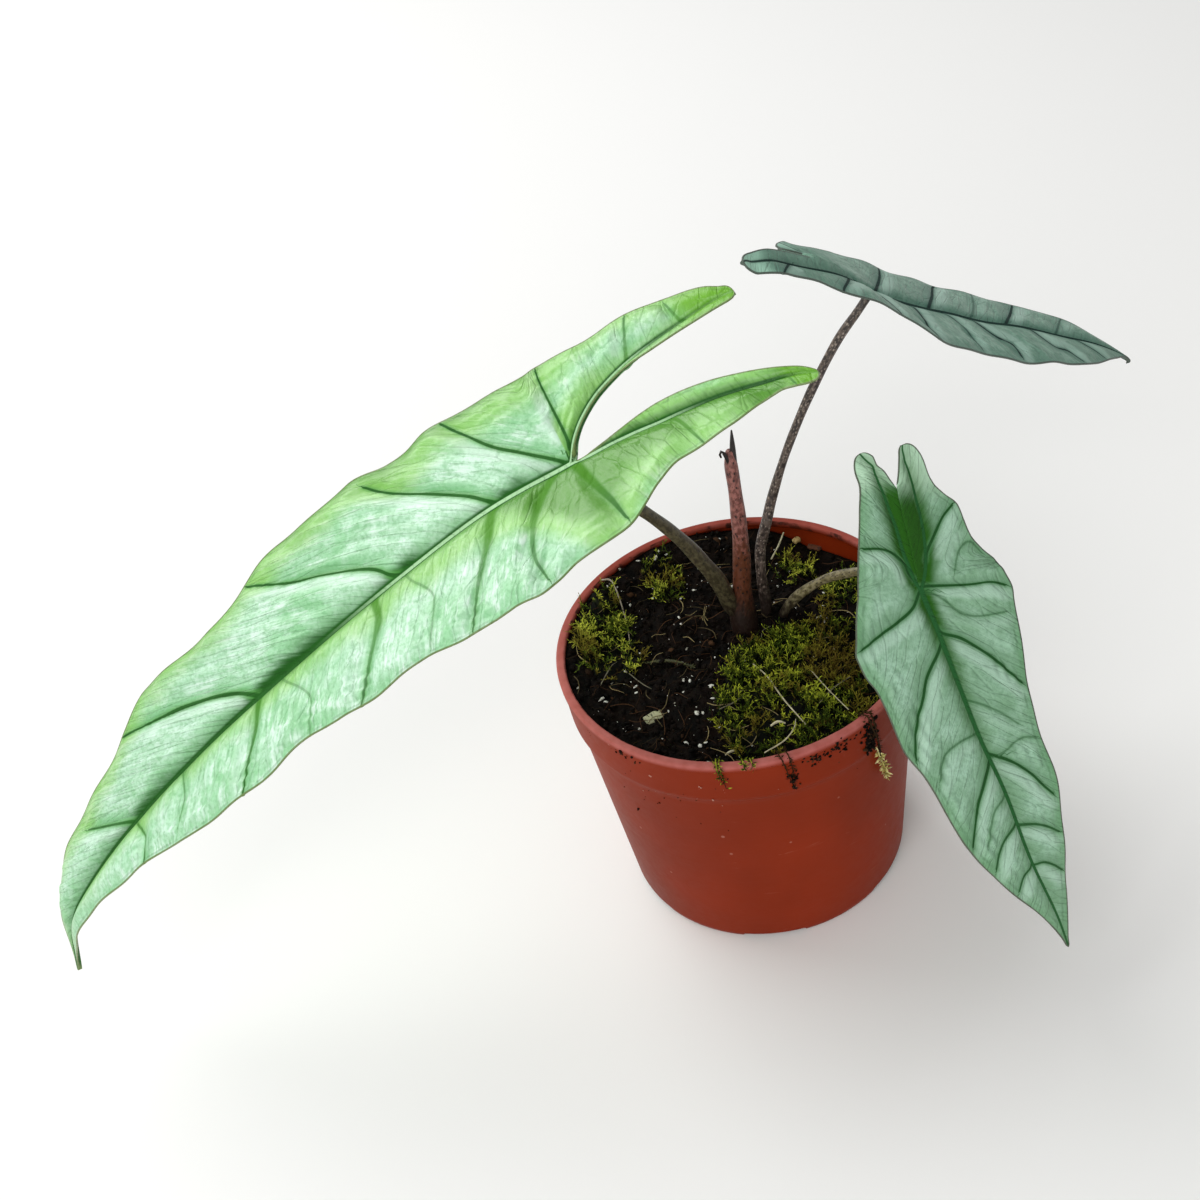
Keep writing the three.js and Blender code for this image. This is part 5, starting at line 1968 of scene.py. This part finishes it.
@dataclass
class MossCushion:
    """A cushion of moss: a low mound with shoots all over it.

    Reach has eight distances from its middle, every 45 degrees from +X. Density is in shoots for each
    square millimetre and limit the distance from the pot's axis that it stays within. Vigour is the size
    of the shoots, and dry the x, y and radius of a brown patch. No shoots grow where the clumps' height,
    with some noise, is under bare.
    """

    name: str
    node: str
    middle: tuple[float, float]
    height: float
    reach: Sequence[float]
    seed: int
    density: float = 0.6
    limit: float = 56.2
    vigour: float = 1.6
    dry: tuple[float, float, float] = (0.0, 0.0, 1.0)
    bare: float = -0.35
    green: tuple[str, str] = ("36450c", "b6bf38")
    sides: int = 56
    rings: int = 14

    def _edge(self, turn: np.ndarray) -> np.ndarray:
        """How far the cushion reaches at a turn from +X."""
        turns = [*self.reach, self.reach[0]]
        return np.interp((turn / math.tau) % 1.0, np.arange(9) / 8, turns)

    def _at(self, part: np.ndarray, turn: np.ndarray) -> tuple[np.ndarray, np.ndarray]:
        """The x and y at a share of the reach and a turn from +X."""
        reach = part * self._edge(turn)
        return self.middle[0] + reach * np.cos(turn), self.middle[1] + reach * np.sin(turn)

    def _spread(self, rng: np.random.Generator) -> np.ndarray:
        """Random places in the cushion, inside the pot."""
        area = math.pi * float(np.mean(np.square(self.reach)))
        count = int(self.density * area)
        turn = rng.random(count) * math.tau
        part = np.sqrt(rng.random(count))
        x, y = self._at(part, turn)
        gaps = self._lumps(x, y) + rng.normal(0, 0.4, count) > self.bare
        keep = (np.hypot(x, y) < self.limit) & gaps
        return np.column_stack([x, y, part])[keep]

    def _lumps(self, x: np.ndarray, y: np.ndarray) -> np.ndarray:
        """The clumps in the cushion, in millimetres above or below the mound."""
        return 2.3 * clouds(np.column_stack([x, y, np.zeros(np.shape(x))]), 5.5, 3)

    def _rise(self, part: np.ndarray) -> np.ndarray:
        """The mound's height over the soil, by share of its reach."""
        return self.height * np.clip(1 - part**2, 0, 1) ** 0.4

    def _mound(self, soil: SoilBed) -> bpy.types.Object:
        """The dark dense foot of the cushion."""
        profile = [(1.0 - 0.97 * k / self.rings, 0.0) for k in range(self.rings + 1)]
        mound = Bench.rings("mound", [(0.4, -1.0), (1.0, -1.0), *profile], self.sides)
        corners = Bench.corners(mound)
        part = np.hypot(corners[:, 0], corners[:, 1])
        turn = np.arctan2(corners[:, 1], corners[:, 0])
        x, y = self._at(part, turn)
        far = np.maximum(1.0, np.hypot(x, y) / (self.limit + 0.3))
        x, y = x / far, y / far
        base = soil.top(x, y)
        lumps = self._lumps(x, y)
        top = base + 0.6 * self._rise(part) + lumps - 0.8
        z = np.where(corners[:, 2] < -0.5, base - 2.5, top)
        Bench.move(mound, np.column_stack([x, y, z]))
        # The mound is painted lighter on the clumps and darker in the hollows: painted light and shade.
        rise, shade = 0.05 + 0.1 * lumps, 0.5 + 0.3 * lumps
        Bench.carry(mound, rise=np.clip(rise, 0, 1), tint=np.clip(shade, 0, 1))
        return mound

    def build(self, soil: SoilBed, shoots: Sequence[Template], finish: MossFinish) -> bpy.types.Object:
        """Plants the shoots on the mound and dresses the cushion."""
        rng = np.random.default_rng(self.seed)
        tufts = Copies()
        spread = self._spread(rng)
        lumps = self._lumps(spread[:, 0], spread[:, 1])
        patch = 0.5 + clouds(np.column_stack([spread[:, :2], 0 * spread[:, 0] + 9]), 9.0, 2)
        for (x, y, part), lump, bright in zip(spread, lumps, patch):
            z = soil.height_at(x, y) + 0.6 * self._rise(np.array(part)) + lump - 1.1
            size = self.vigour * rng.uniform(0.6, 1.15)
            shade = float(np.clip(bright + rng.uniform(-0.35, 0.35), 0, 1))
            shape = shoots[int(rng.integers(len(shoots)))]
            tufts.add(shape, turned(rng, 62, size), np.array([x, y, z]), shade)
        piece = Bench.join(self.name, [tufts.piece("tufts"), self._mound(soil)])
        x, y, reach = self.dry
        corners = Bench.corners(piece)
        gap = np.hypot(corners[:, 0] - x, corners[:, 1] - y)
        Bench.carry(piece, dry=ramp(gap, 1.4 * reach, 0.6 * reach))
        return Bench.hand_in(piece, Slot.MOSS, [finish.material()], [self.node], 180)


@dataclass
class Sprigs:
    """Moss and fibres that hang over the pot's lip.

    Each stem is rows of turn in degrees, distance from the wall, height and radius.
    """

    name: str
    stems: Sequence[Rows]
    finish: MossFinish
    leaves: int
    length: float
    dry: float
    seed: int

    def build(self, pot: NurseryPot) -> bpy.types.Object:
        """Hangs the stems and sets leaflets along them."""
        rng = np.random.default_rng(self.seed)
        leaflet = Shoots.leaflet()
        whole = Copies()
        for stem in self.stems:
            rows = []
            for turn, gap, height, radius in stem:
                rows.append((*polar(pot.skin(height) + gap, math.radians(turn), height), radius))
            whole.add(Bits.thread(rows), np.eye(3), np.zeros(3), 0.4)
            path = through([row[:3] for row in rows], 12)
            for _ in range(self.leaves):
                place = path[int(rng.integers(len(path)))]
                size = self.length * rng.uniform(0.6, 1.2)
                whole.add(leaflet, turned(rng, 120, size), place, rng.random())
        piece = whole.piece(self.name)
        Bench.carry(piece, dry=np.full(whole.count, self.dry))
        return Bench.hand_in(piece, Slot.MOSS, [self.finish.material()])


@dataclass(frozen=True)
class StrawFinish:
    """Dry plant fibre."""

    name: str
    light: str
    dark: str

    def material(self) -> bpy.types.Material:
        """Streaks along the strand."""
        paint = Paint(self.name)
        rod = paint.attribute("rod", "Vector")
        streaks = paint.noise(paint.stretched(rod, (4.0, 4.0, 0.4)), 1.0, 3.0)
        colour = paint.mix(paint.band(streaks, 0.35, 0.65), tint(self.dark), tint(self.light))
        return paint.done(Base_Color=colour, Roughness=0.6 + streaks * 0.2, Normal=paint.bump(streaks, 0.1))


@dataclass
class Strand:
    """A loose strand that lies on the soil or the moss.

    Its rows are x, y, height over the soil and radius. Node is the CAD node that it replaces, if it has
    one, and leaves is how many moss leaflets grow on it.
    """

    name: str
    finish: StrawFinish
    rows: Rows
    node: str = ""
    slot: Slot = Slot.STRAW
    leaves: int = 0

    def build(self, soil: SoilBed) -> bpy.types.Object:
        """Lays the strand on the soil, with moss leaflets along it if it has any."""
        lying = [(x, y, soil.height_at(x, y) + over, radius) for x, y, over, radius in self.rows]
        rod = Stalk(self.name, lying, sides=8, step=0.8, lumps=0.06).rod()
        if self.leaves:
            rng = np.random.default_rng(self.leaves)
            leaflet, tufts = Shoots.leaflet(), Copies()
            path = through([row[:3] for row in lying], 12)
            for _ in range(self.leaves):
                size = rng.uniform(0.7, 1.7)
                place = path[int(rng.integers(len(path)))]
                tufts.add(leaflet, turned(rng, 110, size), place, 0.5)
            rod = Bench.join(self.name, [rod, tufts.piece("leaflets")])
        nodes = [self.node] if self.node else []
        return Bench.hand_in(rod, self.slot, [self.finish.material()], nodes, 80)


# ---- Studio


@dataclass
class Studio:
    """A pale floor, soft lights and the camera."""

    floor_size: float = 6.0
    floor_colour: str = "f7f7f5"
    lens: float = 58.2
    camera_at: tuple[float, float, float] = (-41.03, -468.97, 528.23)
    right: tuple[float, float, float] = (0.97592, -0.14225, -0.16538)
    up: tuple[float, float, float] = (0.21814, 0.63639, 0.73988)
    back: tuple[float, float, float] = (0.0, -0.75813, 0.65210)

    def _floor(self) -> None:
        """A plain floor, far larger than the view."""
        Bench.clear()
        bpy.ops.mesh.primitive_plane_add(size=self.floor_size)
        floor = bpy.context.object
        floor.name = "studio_floor"
        paint = Paint("studio_floor_matt")
        floor.data.materials.append(paint.done(Base_Color=tint(self.floor_colour), Roughness=0.9))

    def _light(self, name: str, at: Sequence[float], size: float, power: float) -> None:
        """A square light that faces the plant."""
        data = bpy.data.lights.new(name, "AREA")
        data.shape, data.size, data.energy = "SQUARE", size, power
        light = bpy.data.objects.new(name, data)
        light.location = at
        light.rotation_euler = (Vector((0, 0, 0.1)) - Vector(at)).to_track_quat("-Z", "Y").to_euler()
        bpy.context.scene.collection.objects.link(light)

    def build(self) -> None:
        """Sets the stage."""
        scene = bpy.context.scene
        scene.view_settings.view_transform = "Standard"
        self._floor()
        self._light("key", (-0.63, 0.7, 1.04), 1.2, 13.4)
        self._light("fill", (-0.42, -1.0, 0.76), 0.9, 8.4)
        world = bpy.data.worlds.new("studio")
        world.use_nodes = True
        background = next(n for n in world.node_tree.nodes if n.type == "BACKGROUND")
        background.inputs["Color"].default_value = (1.0, 1.0, 1.0, 1.0)
        background.inputs["Strength"].default_value = 0.4
        scene.world = world
        data = bpy.data.cameras.new("camera")
        data.lens = self.lens
        camera = bpy.data.objects.new("camera", data)
        axes = Matrix((self.right, self.up, self.back)).transposed().to_4x4()
        camera.matrix_world = Matrix.Translation(Vector(self.camera_at) * MM) @ axes
        scene.collection.objects.link(camera)
        scene.camera = camera


# ---- The plant

BIG_STALK = Stalk(
    "big_leaf_stalk",
    (
        (4, 13, 74, 3.1), (4, 13, 92, 3.2), (1, 12, 101, 3), (-2, 9, 114, 2.8), (-6.3, 5.9, 125.9, 2.6),
        (-11.2, 2.9, 137.9, 2.3), (-17, -2, 151, 2), (-24, -7, 164, 1.9), (-32, -12, 177, 1.8),
        (-38.5, -14.4, 186, 1.6), (-41.2, -15, 188.2, 1.1),
    ),
)
UPPER_STALK = Stalk(
    "upper_leaf_stalk",
    (
        (11.5, 15.5, 74, 2), (13, 16, 92, 2), (13, 16, 106, 1.75), (14.1, 17, 117, 1.75),
        (17.4, 17, 128, 1.8), (20.6, 18, 137, 1.6), (27.3, 18, 154, 1.35), (36.4, 19, 172, 1.45),
        (46.5, 20, 188, 1.4), (53.9, 20.4, 197, 1.35), (58.5, 21.3, 202.2, 1.3),
    ),
)
RIGHT_STALK = Stalk(
    "right_leaf_stalk",
    (
        (10, 12.5, 75, 2), (15.4, 13.4, 84, 1.9), (18.9, 12.4, 92, 1.8), (24, 9.6, 100, 1.65),
        (32, 3, 110, 1.5), (40, -5, 117.4, 1.45), (47, -14, 123.5, 1.45), (52.5, -22.5, 125.5, 1.3),
        (55.2, -28, 125.4, 0.9),
    ),
    lumps=0.06,
)

BIG_STALK_SKIN = StalkFinish(
    "big_stalk_skin", "3a3322", "5a523a", "1a1510", "1e120b", 34.0, 0.5, pore=(1.2, 1.2, 0.5)
)
UPPER_STALK_SKIN = StalkFinish(
    "upper_stalk_skin", "2a201c", "5c4e46", "a09084", "1e140e", 34.0, 0.8, pore=(0.85, 0.85, 0.62)
)
RIGHT_STALK_SKIN = StalkFinish(
    "right_stalk_skin", "665c3c", "948868", "241c10", "1e140c", 32.0, 0.85, pore=(1.0, 1.0, 0.5)
)
SHEATH_SKIN = StalkFinish(
    "sheath_skin", "6a3a34", "a0665d", "1c0f10", "20110a", 36.0, 0.9, "1d1414", middle="5a2c0e",
    middle_height=60.0, pore=(0.75, 0.75, 0.45)
)
RHIZOME_SKIN = StalkFinish("rhizome_bark", "4a2c1c", "6a4028", "22130c", "22130c", 0.0, 0.7)

DIM_MOSS = ("465613", "c4c848")

CUSHIONS = (
    MossCushion(
        "moss_tuft_front", "moss_right", (18, -22), 4.0, (33, 29, 26, 27, 29, 39, 32, 28), 21,
        dry=(32, -18, 13),
    ),
    MossCushion(
        "moss_tuft_left", "moss_left", (-41, 18), 3.4, (7, 9, 23, 12, 9, 13, 28, 15), 22, 0.5,
        bare=-0.25, green=DIM_MOSS,
    ),
    MossCushion(
        "moss_tuft_mid", "moss_mid_left", (-19, 38), 2.8, (8, 8, 14, 9, 7, 7, 8, 8), 23, 0.5,
        bare=-0.25, green=DIM_MOSS,
    ),
    MossCushion("moss_tuft_back", "moss_back", (27, 35), 3.0, (8, 8, 8, 6, 6, 7, 7, 8), 24, green=DIM_MOSS),
    MossCushion(
        "moss_tuft_right", "moss_right_back", (41, 17), 3.0, (9, 8, 7, 7, 8, 9, 8, 8), 25, green=DIM_MOSS
    ),
)

# Each shoot's stem, how many leaflets it has, the length of the lowest and the seed of their turns
SHOOTS = (
    (((0, 0, 0, 0.16), (0.2, 0, 1.3, 0.13), (0.7, 0.2, 2.6, 0.1), (1.6, 0.3, 3.6, 0.05)), 13, 1.3, 1),
    (((0, 0, 0, 0.16), (-0.3, 0.3, 1.6, 0.12), (0.2, 0.8, 3.2, 0.08)), 11, 1.15, 2),
    (((0, 0, 0, 0.15), (0.4, -0.2, 1, 0.12), (1.3, -0.4, 1.9, 0.09), (2.7, -0.2, 2.4, 0.05)), 13, 1.1, 3),
)

# The x, y and size of the larger perlite grains
LARGE_GRAINS = (
    (-18.7, -26.7, 3.0), (-16.9, -27.9, 1.9), (-47.6, -11.7, 2.4), (-46.4, -12.8, 1.7), (-20.3, -9.9, 2.1),
    (-11.9, -15.1, 2.0), (-24.2, -37, 2.0), (-20.3, -40.5, 2.6), (-18.4, -39.8, 1.8), (-33.3, 49.3, 2.2),
    (-31.9, 46.0, 1.9), (-25.2, 48.7, 1.8), (-19, 48, 2.2), (24, -30, 1.6), (22.5, -3.4, 1.5), (30, 2, 1.5),
)

STRIPED_BARK = GrainFinish("striped_bark", "a3a17e", "15140c", True)
CHIPS = (
    Chip("striped_chip", (-32.2, -22.8), (5.4, 3.2, 1.2), 20.0, STRIPED_BARK),
    Chip("cream_chip", (30.4, 47.7), (2.2, 1.7, 1.3), 30.0, GrainFinish("cream_bark", "c0a56c", "6e5030")),
    Chip("bark_chip", (36, 44.5), (4.0, 2.2, 1.2), -35.0, GrainFinish("brown_bark", "5c3018", "24120a")),
)

PEAT_SPATTERS = (
    Spatter(-138, 94.2, (3.0, 1.0), 40, 1.3), Spatter(-154.6, 92.8, (0.7, 1.2), 5, 1.0),
    Spatter(-142.6, 62, (0.6, 0.8), 3, 0.9), Spatter(-131, 72, (0.5, 0.4), 2, 0.8),
    Spatter(-72, 93.6, (4.4, 1.3), 110, 1.5), Spatter(-84.8, 88, (0.9, 3.2), 40, 1.2),
    Spatter(-57.5, 90, (1.4, 4.0), 130, 1.7), Spatter(-120, 80, (22, 9), 26, 0.5),
    Spatter(-106, 92.5, (1.2, 2.0), 14, 1.0),
)
PALE_SPATTERS = (
    Spatter(-129.5, 88.4, (0.4, 0.3), 2, 0.9), Spatter(-113.4, 87.8, (0.3, 0.3), 2, 0.9),
    Spatter(-110.2, 81.8, (0.3, 0.3), 2, 0.8), Spatter(-118, 84, (18, 6), 12, 0.4),
)

HANGING_MOSS = (
    ((-107.5, -3.2, 98.6, 0.2), (-107, -0.2, 99, 0.2), (-106.6, 0.9, 96.5, 0.18), (-106, 1.3, 92, 0.12)),
    ((-106.4, -3, 98.5, 0.2), (-106.2, 0, 98.8, 0.2), (-105.8, 1.4, 95.5, 0.15), (-105.2, 1.2, 88.5, 0.1)),
    ((-99.5, -3, 98.5, 0.2), (-99, -0.2, 98.9, 0.2), (-98.6, 0.6, 96.8, 0.12)),
    ((-97, -2.6, 98.6, 0.2), (-96.4, 0, 98.8, 0.2), (-96, 0.7, 95.6, 0.12)),
)
STRINGY_MOSS = (
    (
        (-88.5, -3, 98.6, 0.2), (-88, 0, 98.9, 0.2), (-87, 1, 94, 0.18), (-86, 1.3, 88, 0.15),
        (-84.6, 1, 83, 0.1),
    ),
    ((-86, -3, 98.6, 0.2), (-85.6, 0, 98.8, 0.2), (-85, 1, 93, 0.15), (-84.4, 0.8, 86.5, 0.1)),
    (
        (-59, -3, 98.6, 0.3), (-58.4, 0, 98.9, 0.3), (-57, 1.2, 93, 0.3), (-55, 1.4, 84, 0.25),
        (-52.5, 1.3, 74, 0.2),
    ),
    (
        (-57.5, -3, 98.6, 0.3), (-57, 0, 98.9, 0.3), (-55.5, 1.3, 90, 0.25), (-53.5, 1.4, 80, 0.2),
        (-50.5, 1.4, 68, 0.15),
    ),
)
BRIGHT_MOSS = (
    ((-54, 1, 80, 0.2), (-52.5, 1.6, 74, 0.25), (-50.8, 1.8, 68, 0.25), (-49.4, 1.6, 61, 0.15)),
    ((-53, 1, 76, 0.2), (-51.5, 2, 70, 0.25), (-50.4, 2.1, 64, 0.2)),
)
BROWN_MOSS = MossFinish("stringy_moss_brown", leaf="1e1a0a", bright="4a3c1a", brown="33210f")
YELLOW_MOSS = MossFinish("moss_tip_yellow", "8a7f40", "cfc478", "f4ecb8")
SPRIGS = (
    Sprigs("hanging_moss", HANGING_MOSS, MossFinish("hanging_moss_green"), 34, 1.9, 0.0, 31),
    Sprigs("stringy_moss", STRINGY_MOSS, BROWN_MOSS, 44, 1.6, 1.0, 32),
    Sprigs("bright_moss", BRIGHT_MOSS, YELLOW_MOSS, 60, 2.4, 0.0, 33),
)

PALE_STRAW = StrawFinish("pale_straw", "cdc3a2", "8d8468")
ROOTLET = StrawFinish("dry_rootlet", "b9ad9a", "7d6f5e")
MOSSY_ROOT = StrawFinish("mossy_root_skin", "4a4a1c", "22220e")
DULL_FIBRE = StrawFinish("dull_fibre", "77705a", "4a4434")

STRANDS = (
    Strand(
        "rootlet_left", ROOTLET,
        ((-39, 42, 0.9, 0.3), (-35.5, 39, 1.4, 0.3), (-34, 26, 1.6, 0.28), (-34.5, 9, 1.4, 0.2)),
        "dry_rootlet_left",
    ),
    Strand(
        "moss_covered_root", MOSSY_ROOT, ((-31, 2, 0.8, 0.35), (-23, 0.5, 1.1, 0.55), (-16, -4, 0.8, 0.3)),
        "mossy_root", Slot.MOSS, 150,
    ),
    Strand(
        "straw_at_back", PALE_STRAW, ((20, 42, 0.8, 0.3), (23.5, 45.5, 2.4, 0.3), (26.5, 48.5, 4.2, 0.25)),
        "straw_back",
    ),
    Strand(
        "straw_at_front", PALE_STRAW,
        ((3, -11, 3.4, 0.22), (6, -20, 4.4, 0.26), (8.5, -33, 4.8, 0.26), (13, -45, 4.2, 0.2)),
        "straw_front",
    ),
    Strand("fibre_right", PALE_STRAW, ((19.8, -23, 5, 0.18), (23, -33, 5.6, 0.2), (27, -44, 5, 0.14))),
    Strand("fibre_cross", DULL_FIBRE, ((31, -30, 5.2, 0.16), (25, -33, 5.8, 0.18), (19, -38, 4.6, 0.12))),
    Strand("fibre_left", DULL_FIBRE, ((-11.6, -28.5, 2, 0.18), (-7, -27.5, 3, 0.2), (-2.7, -25, 3, 0.15))),
    Strand(
        "white_root_tip", PALE_STRAW,
        ((2.2, -43.6, 4.4, 0.3), (4.8, -42.8, 5.0, 0.42), (7, -43.6, 4.6, 0.25)),
    ),
    Strand(
        "white_bit", PALE_STRAW,
        ((-13.6, -48.2, 1.6, 0.25), (-11.8, -47.6, 2.2, 0.4), (-9.8, -47.2, 2, 0.25)),
    ),
    Strand("fork", DULL_FIBRE, ((8.5, 3.5, 1.0, 0.15), (9.6, 6.4, 1.8, 0.2), (12.6, 8.2, 1.2, 0.12))),
    Strand(
        "fibre_rim", PALE_STRAW,
        ((-2, -54, 5.6, 0.18), (5, -52, 6.4, 0.24), (9, -47.5, 6.0, 0.2), (10.4, -43, 5.2, 0.14)),
    ),
    Strand("fibre_edge", DULL_FIBRE, ((-47, -6, 1.6, 0.18), (-42.5, 0.5, 2.4, 0.2), (-40, 4, 1.6, 0.12))),
    Strand("fibre_mid", DULL_FIBRE, ((-37, -3, 1.4, 0.16), (-33.5, -9.5, 2, 0.18), (-31, -12, 1.4, 0.12))),
)


class Alocasia:
    """The whole plant in its pot."""

    def blades(self) -> None:
        """The three leaf blades."""
        Blade(BIG_LEAF, BIG_FINISH, "big_leaf_blade").build()
        Blade(UPPER_LEAF, UPPER_FINISH, "upper_leaf_blade", rib_depth=2.0).build()
        Blade(RIGHT_LEAF, RIGHT_FINISH, "right_leaf_blade", rib_depth=2.0).build()

    def stems(self) -> None:
        """The stalks, the rolled new leaf and the rhizome."""
        LeafStalk(BIG_STALK, BIG_STALK_SKIN, "big_leaf_petiole").build()
        LeafStalk(UPPER_STALK, UPPER_STALK_SKIN, "upper_leaf_petiole").build()
        LeafStalk(RIGHT_STALK, RIGHT_STALK_SKIN, "right_leaf_petiole").build()
        NewLeaf(SHEATH_SKIN).build()
        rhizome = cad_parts["rhizome"]
        bark = RHIZOME_SKIN.material()
        for holder in rhizome.material_slots:
            holder.material = bark

    def bed(self) -> None:
        """The soil with its moss and strands."""
        soil = SoilBed()
        soil.build()
        shoots = [Shoots.shoot(*shoot) for shoot in SHOOTS]
        for cushion in CUSHIONS:
            leaf, bright = cushion.green
            cushion.build(soil, shoots, MossFinish(cushion.name + "_green", leaf=leaf, bright=bright))
        for strand in STRANDS:
            strand.build(soil)
        for chip in CHIPS:
            chip.build(soil)

    def spills(self, pot: NurseryPot) -> None:
        """What hangs over the rim and sticks to the wall."""
        for sprigs in SPRIGS:
            sprigs.build(pot)
        WallDirt("wall_crumbs", PEAT_SPATTERS, SoilFinish().material("wall_peat"), 41).build(pot)
        pale = GrainFinish("wall_specks", "c08d7c", "95604f").material()
        WallDirt("wall_specks", PALE_SPATTERS, pale, 42).build(pot)

    def build(self) -> None:
        """Makes every piece in order."""
        pot = NurseryPot()
        pot.build()
        self.bed()
        self.spills(pot)
        self.stems()
        self.blades()


def main() -> None:
    """Builds the plant and the studio."""
    logging.basicConfig(level=logging.INFO, format="%(name)s: %(message)s")
    Studio().build()
    Alocasia().build()
    LOG.info("the plant stands in its pot")


if __name__ == "__main__":
    main()
